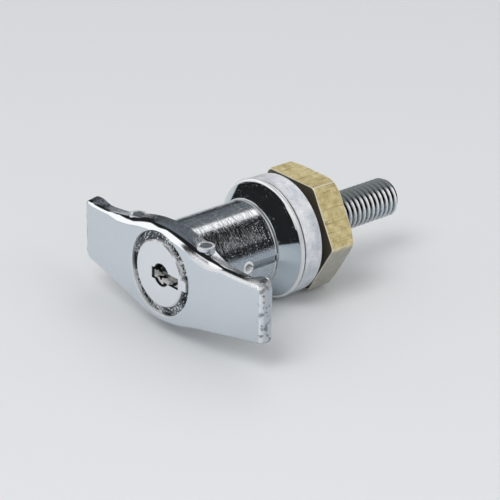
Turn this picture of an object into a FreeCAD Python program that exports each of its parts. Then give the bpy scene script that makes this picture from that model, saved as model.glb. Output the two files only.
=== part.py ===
import FreeCAD, Part
import os
import re

import Sketcher
from FreeCAD import Placement, Rotation, Vector

# Wing knob handle lock for a cabinet door, in millimetres.
# +Y runs along the lock's axis from the wing to the stud, X along the wing, +Z up.
# The origin is on the axis, in the plane where the flange seats on the door.

# Clearances
turn_clearance = 0.05
seat_clearance = 0.05
slide_clearance = 0.05
face_gap = 0.15

# Turns of the handle and of the key, in degrees
handle_swing = 90
key_swing = 90

# Key plug
plug_radius = 6.1
plug_face_step = 0.5
plug_face_edge = 0.25
plug_end_wall = 1.0
tail_radius = 2.6
tail_gap = 0.8
clip_bite = 0.5
clip_width = 1.5
clip_half_opening = 1.82
keyway_left = 2.0
keyway_wall = 1.5
keyway_mouth_wall = 0.4
keyway_mouth_depth = 0.9
keyway_above = 0.95
keyway_below = 1.35
keyway_hole_radius = 2.3
keyway_hole_offset = 0.8
keyway_hole_depth = 3.0
tab_gap = 0.5
tab_half_width = 1.0

# Wafers and their springs
wafer_count = 5
wafer_thickness = 1.0
wafer_pitch = 1.6
wafer_first_depth = 1.4
wafer_half_width = 2.2
wafer_travel = 0.5
wafer_window_below = 0.7
wafer_ear_height = 1.7
wafer_ear_half_width = 0.6
wafer_groove_margin = 3
wafer_spring_length = 2.1
wafer_spring_radius = 0.39
wafer_spring_wire = 0.2
wafer_spring_turns = 4

# Lock insert and the ring that holds it
insert_wall = 1.15
insert_flange_step = 1.0
insert_flange_thickness = 1.1
insert_shoulder_thickness = 1.15
insert_ring_thickness = 0.7
insert_ring_bite = 0.6
insert_ring_width = 1.0
insert_ring_half_gap = 1.3

# Handle casting
recess_depth = 1.1
neck_wall = 1.35
neck_rear_wall = 1.1
neck_edge = 0.4
wing_thickness = 4.8
wing_half_length = 25.5
wing_end_half_height = 5.9
wing_crest_wall = 1.1
wing_crest_drop = 1.7
wing_shoulder_margin = 0.25
wing_waist_radius = 10.0
wing_front_bow = 2.4
wing_rear_bow = 0.6
wing_corner_radius = 1.5
wing_front_edge = 1.5
wing_rear_edge = 0.4
pad_radius = 1.7
pad_height = 0.6
pad_depth = 1.5
pad_from_shoulder = 1.3
groove_width = 1.4
groove_depth = 0.5

# Housing: spigot with its stop lug, flange and threaded barrel
spigot_wall = 1.3
spigot_length = 4.9
spigot_end_gap = 0.4
stop_lug_length = 1.3
stop_lug_bite = 0.4
stop_lug_half_angle = 12
stop_margin = 2
cone_front_step = 0.2
cone_spread = 3.1
cone_height = 3.0
lip_thickness = 0.9
lip_step = 0.7
barrel_wall = 1.5
barrel_thread_depth = 0.9
barrel_pitch = 1.5
barrel_chamfer = 0.8
barrel_past_nut = 1.1

# Door side pieces
gasket_thickness = 0.4
gasket_setback = 0.2
spacer_setback = 0.1
spacer_thickness = 4.2
spacer_play = 0.3
spacer_edge = 0.3
sheet_space = 2.1
nut_wall = 2.85
nut_thickness = 6.1
nut_turn = -1.5
nut_front_corner_cut = 0.3
nut_rear_corner_cut = 1.1

# Spindle, locking bolt and drive pin
collar_length = 3.8
collar_gap = 0.15
tail_play = 0.2
journal_step = 0.55
journal_tail = 2.5
seal_place = 1.0
seal_groove_width = 1.1
seal_groove_depth = 0.85
bolt_half_width = 2.0
bolt_thickness = 2.4
bolt_from_head_front = 0.6
bolt_inner_end = 2.6
bolt_setback = 0.35
bolt_throw = 1.2
drive_pin_radius = 0.6
drive_pin_hold = 2.0
roll_pin_radius = 1.3
roll_pin_wall = 0.5
roll_pin_slit = 0.5
roll_pin_hold = 3.0
roll_pin_from_collar_rear = 2.0

# Washer, retaining ring and stud behind the barrel
washer_thickness = 0.7
retainer_thickness = 0.75
retainer_bite = 0.5
retainer_width = 1.7
stud_radius = 4.0
stud_length = 17.1
stud_pitch = 1.25
stud_thread_depth = 0.76
stud_chamfer = 0.8
stud_shank_step = 0.8
stud_shank_length = 10.0

# Every size above gets a row of the sheet, under its own name
doc = FreeCAD.newDocument("wing_knob_handle_lock")
sheet = doc.addObject("Spreadsheet::Sheet", "sizes")
sizes = {name: number for name, number in globals().items() if isinstance(number, (int, float))}
for row, (name, number) in enumerate(sizes.items(), start=1):
    sheet.set("A%d" % row, name)
    sheet.set("B%d" % row, str(number))
    sheet.setAlias("B%d" % row, name)
doc.recompute()

# Radii, heights and places that follow from the sizes
worked_out = {
    "plug_face_radius": "plug_radius + plug_face_step",
    "keyway_right": "plug_radius - keyway_wall",
    "keyway_mouth_right": "plug_radius - keyway_mouth_wall",
    "clip_floor": "tail_radius - clip_bite",
    "insert_bore": "plug_radius + turn_clearance",
    "insert_radius": "insert_bore + insert_wall",
    "recess_radius": "insert_radius + insert_flange_step + seat_clearance",
    "tab_reach": "recess_radius - tab_gap",
    "neck_bore": "insert_radius + seat_clearance",
    "neck_radius": "neck_bore + neck_wall",
    "neck_rear_bore": "neck_radius - neck_rear_wall",
    "spigot_outer": "neck_rear_bore - turn_clearance * 2",
    "spigot_inner": "spigot_outer - spigot_wall",
    "head_radius": "spigot_inner - turn_clearance * 2",
    "journal_radius": "head_radius - journal_step",
    "barrel_bore": "journal_radius + turn_clearance",
    "barrel_radius": "barrel_bore + barrel_wall + barrel_thread_depth",
    "cone_front_radius": "neck_radius + cone_front_step",
    "flange_radius": "cone_front_radius + cone_spread",
    "spacer_radius": "flange_radius - spacer_setback",
    "door_bore": "barrel_radius + spacer_play",
    "nut_bore": "barrel_radius + seat_clearance",
    "nut_across_flats": "(nut_bore + nut_wall) * 2",
    "nut_corner_radius": "nut_across_flats / (2 * cos(30))",
    "nut_front_radius": "nut_corner_radius - nut_front_corner_cut",
    "nut_rear_radius": "nut_corner_radius - nut_rear_corner_cut",
    "collar_bore": "tail_radius + tail_play",
    "seal_floor": "journal_radius - seal_groove_depth",
    "retainer_floor": "journal_radius - retainer_bite",
    "shank_radius": "stud_radius - stud_shank_step",
    "drive_pin_orbit": "bolt_throw / (2 * sin(key_swing / 2))",
    "drive_pin_x": "drive_pin_orbit * cos(key_swing / 2)",
    "drive_pin_z": "drive_pin_orbit * sin(key_swing / 2)",
    "crest_half_height": "recess_radius + wing_crest_wall",
    "shoulder_half_height": "crest_half_height - wing_crest_drop",
    "shoulder_half_width": "recess_radius + wing_shoulder_margin",
    "crest_radius": "(shoulder_half_width^2 + wing_crest_drop^2) / (2 * wing_crest_drop)",
    "taper_width": "wing_half_length - shoulder_half_width",
    "taper_slope": "(shoulder_half_height - wing_end_half_height) / taper_width",
    "front_radius": "(wing_half_length^2 + wing_front_bow^2) / (2 * wing_front_bow)",
    "rear_radius": "(wing_half_length^2 + wing_rear_bow^2) / (2 * wing_rear_bow)",
    "past_end": "wing_half_length + wing_corner_radius",
    "flange_front": "-lip_thickness - cone_height",
    "neck_end": "flange_front - face_gap",
    "spigot_front": "flange_front - spigot_length",
    "stop_end": "spigot_front - stop_lug_length",
    "rear_bore_start": "spigot_front - spigot_end_gap",
    "collar_rear": "rear_bore_start - collar_gap",
    "collar_front": "collar_rear - collar_length",
    "bolt_front": "collar_rear + bolt_from_head_front",
    "bolt_rear": "bolt_front + bolt_thickness",
    "pin_place": "collar_rear - roll_pin_from_collar_rear",
    "tail_end": "bolt_front - tail_gap",
    "insert_rear": "collar_front - face_gap - insert_ring_thickness",
    "insert_shoulder": "insert_rear - insert_shoulder_thickness",
    "plug_rear": "insert_shoulder - turn_clearance",
    "first_wafer": "plug_rear - plug_end_wall - wafer_thickness - wafer_pitch * (wafer_count - 1)",
    "recess_floor": "first_wafer - wafer_first_depth",
    "insert_seat": "recess_floor + insert_flange_thickness",
    "plug_face_rear": "recess_floor - turn_clearance",
    "wing_face": "recess_floor - recess_depth",
    "wing_rear": "wing_face + wing_thickness",
    "spacer_rear": "gasket_thickness + spacer_thickness",
    "nut_front": "spacer_rear + sheet_space",
    "nut_rear": "nut_front + nut_thickness",
    "barrel_end": "nut_rear + barrel_past_nut",
    "washer_front": "barrel_end + turn_clearance",
    "retainer_front": "washer_front + washer_thickness + seat_clearance",
    "spindle_end": "barrel_end + journal_tail",
    "shank_end": "spindle_end - stud_shank_length",
    "stud_tip": "spindle_end + stud_length",
}


def bound(text):
    """The expression in terms of the sheet's cells; a worked out name becomes its formula."""
    def cell(word):
        found = word.group()
        return "(%s)" % bound(worked_out[found]) if found in worked_out else "sizes." + found
    return re.sub(r"[a-z]+(_[a-z]+)+", cell, text)


def value(text):
    """The number that an expression of sizes gives."""
    return float(sheet.evalExpression(bound(text)))


def tie(thing, **properties):
    """Binds properties of a document object to expressions of sizes."""
    for name, text in properties.items():
        thing.setExpression(name, bound(text))


def put(thing, x="0", y="0", z="0", turn=None):
    """Places an object, with its place bound to sizes."""
    thing.Placement = Placement(Vector(), turn or Rotation())
    for letter, text in zip("xyz", (x, y, z)):
        thing.setExpression("Placement.Base." + letter, bound(text))


ALONG_Y = Rotation(Vector(1, 0, 0), -90)
ALONG_X = Rotation(Vector(0, 1, 0), 90)
# Where a sector round the lock's axis starts, for its start to lie at the top
AT_TOP = -90
# Lengths that differ by less than this count as the same when edges are picked
SAME = 0.01


def rod(name, radius, length, x="0", y="0", z="0", turn=ALONG_Y, start=0, sweep="360"):
    """A cylinder; start and sweep, in degrees about its axis from +X, make it a sector."""
    thing = doc.addObject("Part::Cylinder", name)
    tie(thing, Radius=radius, Height=length, Angle=sweep)
    put(thing, x, y, z, turn * Rotation(Vector(0, 0, 1), start))
    return thing


def block(name, x, y, z, swing="0"):
    """A box from its low to its high end along each axis, then swung about the lock's axis."""
    thing = doc.addObject("Part::Box", name)
    tie(thing, Length="%s - (%s)" % (x[1], x[0]))
    tie(thing, Width="%s - (%s)" % (y[1], y[0]))
    tie(thing, Height="%s - (%s)" % (z[1], z[0]))
    swung_x = "(%s) * cos(%s) + (%s) * sin(%s)" % (x[0], swing, z[0], swing)
    swung_z = "(%s) * cos(%s) - (%s) * sin(%s)" % (z[0], swing, x[0], swing)
    put(thing, swung_x, y[0], swung_z, Rotation(Vector(0, 1, 0), value(swing)))
    return thing


def joined(name, *pieces):
    """One solid from pieces that meet."""
    thing = doc.addObject("Part::MultiFuse", name)
    thing.Shapes = list(pieces)
    return thing


def cut(name, base, *tools):
    """The base with the tools taken away."""
    thing = doc.addObject("Part::Cut", name)
    thing.Base = base
    thing.Tool = tools[0] if len(tools) == 1 else joined(name + "_tools", *tools)
    return thing


def ring(name, outer, inner, y, length, start=0, sweep="360"):
    """A ring, or a sector of one, round the lock's axis."""
    whole = rod(name + "_outer", outer, length, y=y, start=start, sweep=sweep)
    hole = rod(name + "_hole", inner, length, y=y)
    return cut(name, whole, hole)


def plane(body, role):
    """One of a body's own origin planes or axes."""
    return next(o for o in body.Origin.OriginFeatures if o.Role == role)


def sketch_on(body, role, name, offset="0"):
    """A sketch on an origin plane, moved along the plane's normal."""
    sketch = body.newObject("Sketcher::SketchObject", name)
    sketch.AttachmentSupport = [(plane(body, role), "")]
    sketch.MapMode = "FlatFace"
    sketch.setExpression("AttachmentOffset.Base.z", bound(offset))
    return sketch


def dimension(sketch, kind, text, *places):
    """Adds one dimension to a sketch and binds it to an expression of sizes."""
    number = sketch.addConstraint(Sketcher.Constraint(kind, *places, value(text)))
    sketch.setExpression("Constraints[%d]" % number, bound(text))


def arc_between(start, end, radius, hollow):
    """The short arc between two points; a hollow one bends towards the left of the way."""
    chord = end - start
    left = Vector(-chord.y, chord.x, 0).normalize()
    rise = (radius ** 2 - (chord.Length / 2) ** 2) ** 0.5
    centre = (start + end) * 0.5 + left * (-rise if hollow else rise)
    circle = Part.Circle(centre, Vector(0, 0, 1), radius)
    first, last = (end, start) if hollow else (start, end)
    return Part.ArcOfCircle(circle, circle.parameter(first), circle.parameter(last))


def outline(sketch, corners):
    """A closed outline, run anticlockwise. A corner may add the radius of the arc that leaves it."""
    points = [Vector(value(corner[0]), value(corner[1]), 0) for corner in corners]
    ends = []
    for k, corner in enumerate(corners):
        start, end = points[k], points[(k + 1) % len(points)]
        if len(corner) == 2:
            sketch.addGeometry(Part.LineSegment(start, end))
            ends.append((1, 2))
            continue
        hollow = corner[3] == "hollow"
        sketch.addGeometry(arc_between(start, end, value(corner[2]), hollow))
        ends.append((2, 1) if hollow else (1, 2))
        dimension(sketch, "Radius", corner[2], k)
    for k, corner in enumerate(corners):
        following = (k + 1) % len(corners)
        meeting = Sketcher.Constraint("Coincident", k, ends[k][1], following, ends[following][0])
        sketch.addConstraint(meeting)
        dimension(sketch, "DistanceX", corner[0], -1, 1, k, ends[k][0])
        dimension(sketch, "DistanceY", corner[1], -1, 1, k, ends[k][0])
    return sketch


def turned(label, corners):
    """A body turned round the lock's axis, from its half section of (radius, place) corners."""
    body = doc.addObject("PartDesign::Body", label)
    section = outline(sketch_on(body, "XY_Plane", label + "_section"), corners)
    solid = body.newObject("PartDesign::Revolution", label + "_turned")
    solid.Profile = section
    solid.ReferenceAxis = (section, ["V_Axis"])
    solid.Angle = 360
    section.Visibility = False
    body.Tip = solid
    doc.recompute()
    return body


def turned_groove(body, name, corners):
    """A groove cut round the axis of a body."""
    section = outline(sketch_on(body, "XY_Plane", name + "_section"), corners)
    groove = body.newObject("PartDesign::Groove", name)
    groove.Profile = section
    groove.ReferenceAxis = (section, ["V_Axis"])
    groove.Angle = 360
    body.Tip = groove
    doc.recompute()
    return groove


def thread(body, name, radius, depth, pitch, first, last):
    """Cuts a sixty degree thread as ring grooves, a pitch apart, between two places on the axis.
    A groove's root is an eighth of the pitch wide, and its mouth leaves a crest as wide."""
    low_mouth = "%s - %s * 7 / 16" % (first, pitch)
    high_mouth = "%s + %s * 7 / 16" % (first, pitch)
    root = "%s - %s" % (radius, depth)
    outside = "%s + %s" % (radius, depth)
    groove = turned_groove(body, name, [
        (root, "%s - %s / 16" % (first, pitch)),
        (radius, low_mouth),
        (outside, low_mouth),
        (outside, high_mouth),
        (radius, high_mouth),
        (root, "%s + %s / 16" % (first, pitch)),
    ])
    pattern = body.newObject("PartDesign::LinearPattern", name + "_turns")
    pattern.Originals = [groove]
    pattern.Direction = (plane(body, "Y_Axis"), [""])
    count = "floor((%s - (%s)) / %s)" % (last, first, pitch)
    tie(pattern, Occurrences=count + " + 1", Length="%s * %s" % (count, pitch))
    body.Tip = pattern


def padded(body, name, sketch, length, backwards=False):
    """Pads a sketch along its normal, or against it."""
    pad = body.newObject("PartDesign::Pad", name)
    pad.Profile = sketch
    tie(pad, Length=length)
    pad.Reversed = backwards
    body.Tip = pad
    doc.recompute()


def pocketed_through(body, name, sketch):
    """Cuts a sketch through the whole body, both ways."""
    pocket = body.newObject("PartDesign::Pocket", name)
    pocket.Profile = sketch
    pocket.Type = "ThroughAll"
    pocket.Midplane = True
    body.Tip = pocket
    doc.recompute()


def rounded(body, name, radius, wanted):
    """Rounds the edges of the body that a test picks."""
    base = body.Tip
    edges = ["Edge%d" % (k + 1) for k, edge in enumerate(base.Shape.Edges) if wanted(edge)]
    fillet = body.newObject("PartDesign::Fillet", name)
    fillet.Base = (base, edges)
    tie(fillet, Radius=radius)
    body.Tip = fillet
    doc.recompute()


def round_edge_at(place, radius):
    """Picks the circular edges of a radius that lie at a place on the axis."""
    far, reach = value(place), value(radius)

    def wanted(edge):
        box = edge.BoundBox
        return max(abs(box.YMin - far), abs(box.YMax - far), abs(box.XMax - reach)) < SAME

    return wanted


def bowed_edge_at(place, radius):
    """Picks the edges on a face that is bowed to a radius from a place on the axis."""
    far, reach = value(place), value(radius)

    def wanted(edge):
        middle = edge.valueAt((edge.FirstParameter + edge.LastParameter) / 2)
        bow = reach - (reach ** 2 - middle.x ** 2) ** 0.5
        return abs(middle.y - far - bow) < SAME

    return wanted


def cross_edge_at(half_width):
    """Picks the edges of the wing that run front to back at a half width."""
    reach = value(half_width)

    def wanted(edge):
        box = edge.BoundBox
        straight = box.YLength > 1 and max(box.XLength, box.ZLength) < SAME
        return straight and abs(abs(box.XMin) - reach) < SAME

    return wanted


nodes = []


def node(label, thing):
    """Names a finished piece and keeps it for the hand-over files."""
    thing.Label = label
    nodes.append(thing)


def make_housing():
    """Cone flange, front spigot with bolt notches and stop lug, and threaded barrel."""
    body = turned("housing_turned_part", [
        ("spigot_inner", "spigot_front"),
        ("spigot_outer", "spigot_front"),
        ("spigot_outer", "flange_front"),
        ("cone_front_radius", "flange_front"),
        ("flange_radius - lip_step", "-lip_thickness"),
        ("flange_radius", "-lip_thickness + lip_step / 2"),
        ("flange_radius", "0"),
        ("barrel_radius", "0"),
        ("barrel_radius", "barrel_end - barrel_chamfer"),
        ("barrel_radius - barrel_chamfer", "barrel_end"),
        ("barrel_bore", "barrel_end"),
        ("barrel_bore", "flange_front"),
        ("spigot_inner", "flange_front"),
    ])
    thread(body, "barrel_thread", "barrel_radius", "barrel_thread_depth", "barrel_pitch",
           "barrel_pitch", "barrel_end - barrel_chamfer")
    half = "(bolt_half_width + slide_clearance * 2)"
    across = ("-" + half, half)
    along = ("spigot_front", "bolt_rear + slide_clearance * 2")
    down = ("-spigot_outer - face_gap / 2", "0")
    locked = block("bolt_notch_locked", across, along, down)
    opened = block("bolt_notch_open", across, along, down, "handle_swing")
    lug = ring("stop_lug", "insert_radius", "spigot_inner", "stop_end", "stop_lug_length + stop_lug_bite",
               AT_TOP - stop_lug_half_angle, "2 * stop_lug_half_angle")
    node("housing", joined("housing_whole", cut("housing_notched", body, locked, opened), lug))


def make_gasket_and_spacer():
    """The two rings between the flange and the door."""
    gasket = ring("gasket", "flange_radius - gasket_setback", "door_bore", "0", "gasket_thickness")
    node("flange_gasket", gasket)
    node("spacer_ring", turned("spacer_ring", [
        ("door_bore", "gasket_thickness"),
        ("spacer_radius - spacer_edge", "gasket_thickness"),
        ("spacer_radius", "gasket_thickness + spacer_edge"),
        ("spacer_radius", "spacer_rear - spacer_edge"),
        ("spacer_radius - spacer_edge", "spacer_rear"),
        ("door_bore", "spacer_rear"),
    ]))


def make_hex_nut():
    """Hexagon nut on the barrel, its corners bevelled more at the rear."""
    nut = doc.addObject("PartDesign::Body", "hex_nut")
    hexagon = sketch_on(nut, "XZ_Plane", "nut_hexagon", "-nut_front")
    outline(hexagon, [("nut_corner_radius * cos(nut_turn + %d)" % turn,
                       "nut_corner_radius * sin(nut_turn + %d)" % turn) for turn in range(0, 360, 60)])
    padded(nut, "nut_block", hexagon, "nut_thickness", backwards=True)
    rim = "nut_across_flats"
    turned_groove(nut, "nut_front_bevel", [
        ("nut_front_radius", "nut_front"),
        ("nut_front_radius", "nut_front - nut_thickness"),
        (rim, "nut_front - nut_thickness"),
        (rim, "nut_front + (nut_across_flats - nut_front_radius) * tan(30)"),
    ])
    turned_groove(nut, "nut_rear_bevel", [
        ("nut_rear_radius", "nut_rear"),
        (rim, "nut_rear - (nut_across_flats - nut_rear_radius) * tan(30)"),
        (rim, "nut_rear + nut_thickness"),
        ("nut_rear_radius", "nut_rear + nut_thickness"),
    ])
    lead = "barrel_thread_depth / 2"
    wide = "nut_bore + " + lead
    turned_groove(nut, "nut_bore_cut", [
        ("0", "nut_front - face_gap"),
        (wide, "nut_front - face_gap"),
        (wide, "nut_front"),
        ("nut_bore", "nut_front + " + lead),
        ("nut_bore", "nut_rear - " + lead),
        (wide, "nut_rear"),
        (wide, "nut_rear + face_gap"),
        ("0", "nut_rear + face_gap"),
    ])
    node("hex_nut", nut)


def make_wing():
    """The bowed, waisted plate that the fingers turn."""
    body = doc.addObject("PartDesign::Body", "handle_casting_part")
    face = sketch_on(body, "XZ_Plane", "wing_outline", "-wing_rear - wing_rear_bow")
    outline(face, [
        ("wing_half_length", "-wing_end_half_height"),
        ("wing_half_length", "wing_end_half_height"),
        ("shoulder_half_width", "shoulder_half_height", "crest_radius", "round"),
        ("-shoulder_half_width", "shoulder_half_height"),
        ("-wing_half_length", "wing_end_half_height"),
        ("-wing_half_length", "-wing_end_half_height"),
        ("-shoulder_half_width", "-shoulder_half_height", "crest_radius", "round"),
        ("shoulder_half_width", "-shoulder_half_height"),
    ])
    padded(body, "wing_block", face, "wing_thickness + wing_rear_bow")
    front_end = "wing_face + front_radius - sqrt(front_radius^2 - past_end^2)"
    front = sketch_on(body, "XY_Plane", "wing_front_cut")
    outline(front, [
        ("-past_end", "wing_face - wing_front_bow"),
        ("past_end", "wing_face - wing_front_bow"),
        ("past_end", front_end, "front_radius", "hollow"),
        ("-past_end", front_end),
    ])
    pocketed_through(body, "wing_front", front)
    rear_end = "wing_rear + rear_radius - sqrt(rear_radius^2 - past_end^2)"
    rear = sketch_on(body, "XY_Plane", "wing_rear_cut")
    outline(rear, [
        ("-past_end", rear_end, "rear_radius", "round"),
        ("past_end", rear_end),
        ("past_end", rear_end + " + wing_rear_bow"),
        ("-past_end", rear_end + " + wing_rear_bow"),
    ])
    pocketed_through(body, "wing_rear", rear)
    rounded(body, "wing_waist", "wing_waist_radius", cross_edge_at("shoulder_half_width"))
    rounded(body, "wing_corners", "wing_corner_radius", cross_edge_at("wing_half_length"))
    rounded(body, "wing_front_round", "wing_front_edge", bowed_edge_at("wing_face", "front_radius"))
    rounded(body, "wing_rear_round", "wing_rear_edge", bowed_edge_at("wing_rear", "rear_radius"))
    return body


def add_neck(body):
    """The round neck behind the wing, and the stepped bore through both."""
    circle = sketch_on(body, "XZ_Plane", "neck_circle", "-neck_end")
    circle.addGeometry(Part.Circle(Vector(), Vector(0, 0, 1), value("neck_radius")))
    circle.addConstraint(Sketcher.Constraint("Coincident", 0, 3, -1, 1))
    dimension(circle, "Radius", "neck_radius", 0)
    padded(body, "neck", circle, "neck_end - wing_rear + wing_thickness / 2")
    rounded(body, "neck_end_round", "neck_edge", round_edge_at("neck_end", "neck_radius"))
    ring_floor = "neck_bore + insert_ring_bite"
    ring_groove_end = "insert_rear + insert_ring_thickness + seat_clearance * 2"
    turned_groove(body, "handle_bore", [
        ("0", "wing_face - wing_front_bow"),
        ("recess_radius", "wing_face - wing_front_bow"),
        ("recess_radius", "insert_seat"),
        ("neck_bore", "insert_seat"),
        ("neck_bore", "insert_rear"),
        (ring_floor, "insert_rear"),
        (ring_floor, ring_groove_end),
        ("neck_bore", ring_groove_end),
        ("neck_bore", "rear_bore_start"),
        ("neck_rear_bore", "rear_bore_start"),
        ("neck_rear_bore", "neck_end + neck_edge"),
        ("0", "neck_end + neck_edge"),
    ])


def cast_pad(side, sign):
    """A round pad on the top side of the wing, flush with the wing's rear."""
    return rod("cast_pad_" + side, "pad_radius", "pad_depth + pad_height",
               sign + "(shoulder_half_width + pad_from_shoulder)", "wing_rear - pad_radius",
               "shoulder_half_height - pad_from_shoulder * taper_slope - pad_depth", Rotation())


def make_handle_casting():
    """Wing, neck, pads, roll pin's hole and its groove, one casting."""
    body = make_wing()
    add_neck(body)
    whole = joined("handle_with_pads", body, cast_pad("left", "-"), cast_pad("right", ""))
    pin_hole = rod("roll_pin_hole", "roll_pin_radius", "neck_radius", "neck_radius / 2", "pin_place",
                   turn=ALONG_X)
    groove = block("neck_groove", ("neck_radius - groove_depth", "neck_radius + groove_depth"),
                   ("pin_place", "neck_end + neck_edge"), ("-groove_width / 2", "groove_width / 2"))
    node("handle_casting", cut("handle_finished", whole, pin_hole, groove))


def make_lock_insert():
    """Fixed shell of the lock, with a groove for the wafers at each end of the key's turn."""
    body = turned("insert_turned_part", [
        ("insert_bore", "recess_floor"),
        ("recess_radius - seat_clearance", "recess_floor"),
        ("recess_radius - seat_clearance", "insert_seat"),
        ("insert_radius", "insert_seat"),
        ("insert_radius", "insert_rear"),
        ("tail_radius + turn_clearance", "insert_rear"),
        ("tail_radius + turn_clearance", "insert_shoulder"),
        ("insert_bore", "insert_shoulder"),
    ])
    half = value("asin(wafer_half_width / plug_radius)") + wafer_groove_margin
    grooves = [rod("wafer_groove_" + name, "insert_bore + wafer_travel", "wafer_pitch * wafer_count",
                   y="first_wafer - seat_clearance", start=angle - half, sweep=str(2 * half))
               for name, angle in (("rest", 0), ("turned", key_swing))]
    node("lock_insert_body", cut("insert_grooved", body, *grooves))


def make_insert_ring():
    """Open spring ring in the neck's groove, behind the insert."""
    whole = ring("insert_ring_whole", "neck_bore + insert_ring_bite - seat_clearance",
                 "insert_radius - insert_ring_width", "insert_rear + seat_clearance", "insert_ring_thickness")
    opening = block("insert_ring_opening", ("-insert_radius * 2", "0"),
                    ("insert_rear", "insert_rear + insert_ring_thickness * 2"),
                    ("-insert_ring_half_gap", "insert_ring_half_gap"))
    node("insert_retaining_ring", cut("insert_ring_open", whole, opening))


def wafer_span(k, play="0"):
    """Where a wafer starts and ends along the axis, with some play."""
    return ("first_wafer + wafer_pitch * %d - %s" % (k, play),
            "first_wafer + wafer_pitch * %d + wafer_thickness + %s" % (k, play))


def keyway_cuts():
    """The key's slot, wider at the face, and the round hole through it."""
    outside = "wing_face - face_gap"
    height = ("-keyway_below", "keyway_above")
    return [
        block("keyway", ("-keyway_left", "keyway_right"), (outside, "plug_rear - face_gap"), height),
        block("keyway_mouth", ("-keyway_left", "keyway_mouth_right"),
              (outside, "wing_face + keyway_mouth_depth"), height),
        rod("keyway_hole", "keyway_hole_radius", "keyway_hole_depth + face_gap",
            "keyway_hole_offset", outside),
    ]


def wafer_cuts(k):
    """One wafer's slot through the plug, and the pocket beside it for its ear and spring."""
    span = wafer_span(k, "slide_clearance")
    side = "wafer_half_width + slide_clearance"
    return [
        block("wafer_slot_%d" % (k + 1), ("-plug_radius", "plug_radius"), span, ("-(%s)" % side, side)),
        block("spring_pocket_%d" % (k + 1),
              ("-wafer_ear_half_width - wafer_spring_length - slide_clearance",
               "wafer_ear_half_width + wafer_travel + slide_clearance"),
              span, ("wafer_half_width", side + " + wafer_ear_height")),
    ]


def drive_pin_rod(name, length):
    """The space of the eccentric pin, from its foot in the plug's tail."""
    return rod(name, "drive_pin_radius", length, "drive_pin_x", "tail_end - drive_pin_hold", "drive_pin_z")


def make_key_plug():
    """Plug that the key turns, with its face tab, keyway, wafer slots and tail."""
    groove_end = "insert_rear + insert_ring_thickness"
    body = turned("plug_turned_part", [
        ("0", "wing_face"),
        ("plug_face_radius - plug_face_edge", "wing_face"),
        ("plug_face_radius", "wing_face + plug_face_edge"),
        ("plug_face_radius", "plug_face_rear"),
        ("plug_radius", "plug_face_rear"),
        ("plug_radius", "plug_rear"),
        ("tail_radius", "plug_rear"),
        ("tail_radius", "insert_rear"),
        ("clip_floor", "insert_rear"),
        ("clip_floor", groove_end),
        ("tail_radius", groove_end),
        ("tail_radius", "tail_end"),
        ("0", "tail_end"),
    ])
    tab = block("index_tab", ("plug_radius - face_gap", "tab_reach"), ("wing_face", "plug_face_rear"),
                ("-tab_half_width", "tab_half_width"))
    cuts = keyway_cuts() + [drive_pin_rod("drive_pin_hole", "drive_pin_hold + face_gap")]
    for k in range(wafer_count):
        cuts += wafer_cuts(k)
    node("key_plug", cut("plug_finished", joined("plug_with_tab", body, tab), *cuts))


def make_plug_clip():
    """Clip in the tail's groove, open on one side."""
    groove_end = "insert_rear + insert_ring_thickness"
    thickness = "insert_ring_thickness - seat_clearance * 2"
    clip = ring("clip_whole", "clip_floor + seat_clearance + clip_width", "clip_floor + seat_clearance",
                "insert_rear + seat_clearance", thickness)
    gap = block("clip_gap", ("0", "tail_radius * 2"), ("insert_rear", groove_end),
                ("-clip_half_opening", "clip_half_opening"))
    node("plug_clip", cut("clip_open", clip, gap))


def make_wafer(k):
    """A sprung tumbler that slides along X in the plug."""
    name = "wafer_%d" % (k + 1)
    front, back = wafer_span(k)
    plate = block(name + "_plate", ("-plug_radius", "plug_radius"), (front, back),
                  ("-wafer_half_width", "wafer_half_width"))
    round_ends = rod(name + "_ends", "plug_radius - slide_clearance", "wafer_thickness", y=front)
    flush = doc.addObject("Part::MultiCommon", name + "_flush")
    flush.Shapes = [plate, round_ends]
    ear = block(name + "_ear", ("-wafer_ear_half_width", "wafer_ear_half_width"), (front, back),
                ("wafer_half_width - face_gap", "wafer_half_width + wafer_ear_height"))
    window = block(name + "_window", ("-keyway_left - face_gap", "keyway_right + face_gap"), (front, back),
                   ("-wafer_window_below", "keyway_above + face_gap"))
    node(name, cut(name + "_cut", joined(name + "_whole", flush, ear), window))


def make_wafer_spring(k):
    """The coil spring between a wafer's ear and the end of its pocket."""
    lead = (wafer_spring_length - wafer_spring_wire * 2) / wafer_spring_turns
    helix = Part.makeHelix(lead, wafer_spring_length - wafer_spring_wire * 2, wafer_spring_radius)
    helix.translate(Vector(0, 0, wafer_spring_wire))
    start = Vector(wafer_spring_radius, 0, wafer_spring_wire)
    section = Part.Wire(Part.makeCircle(wafer_spring_wire / 2, start, Vector(0, 1, 0)))
    spring = doc.addObject("Part::Feature", "wafer_spring_coil_%d" % (k + 1))
    spring.Shape = Part.Wire(helix).makePipeShell([section], True, True)
    put(spring, "-wafer_ear_half_width - wafer_spring_length", wafer_span(k)[0] + " + wafer_thickness / 2",
        "wafer_half_width + wafer_ear_height / 2", ALONG_X)
    node("wafer_spring_%d" % (k + 1), spring)


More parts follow.
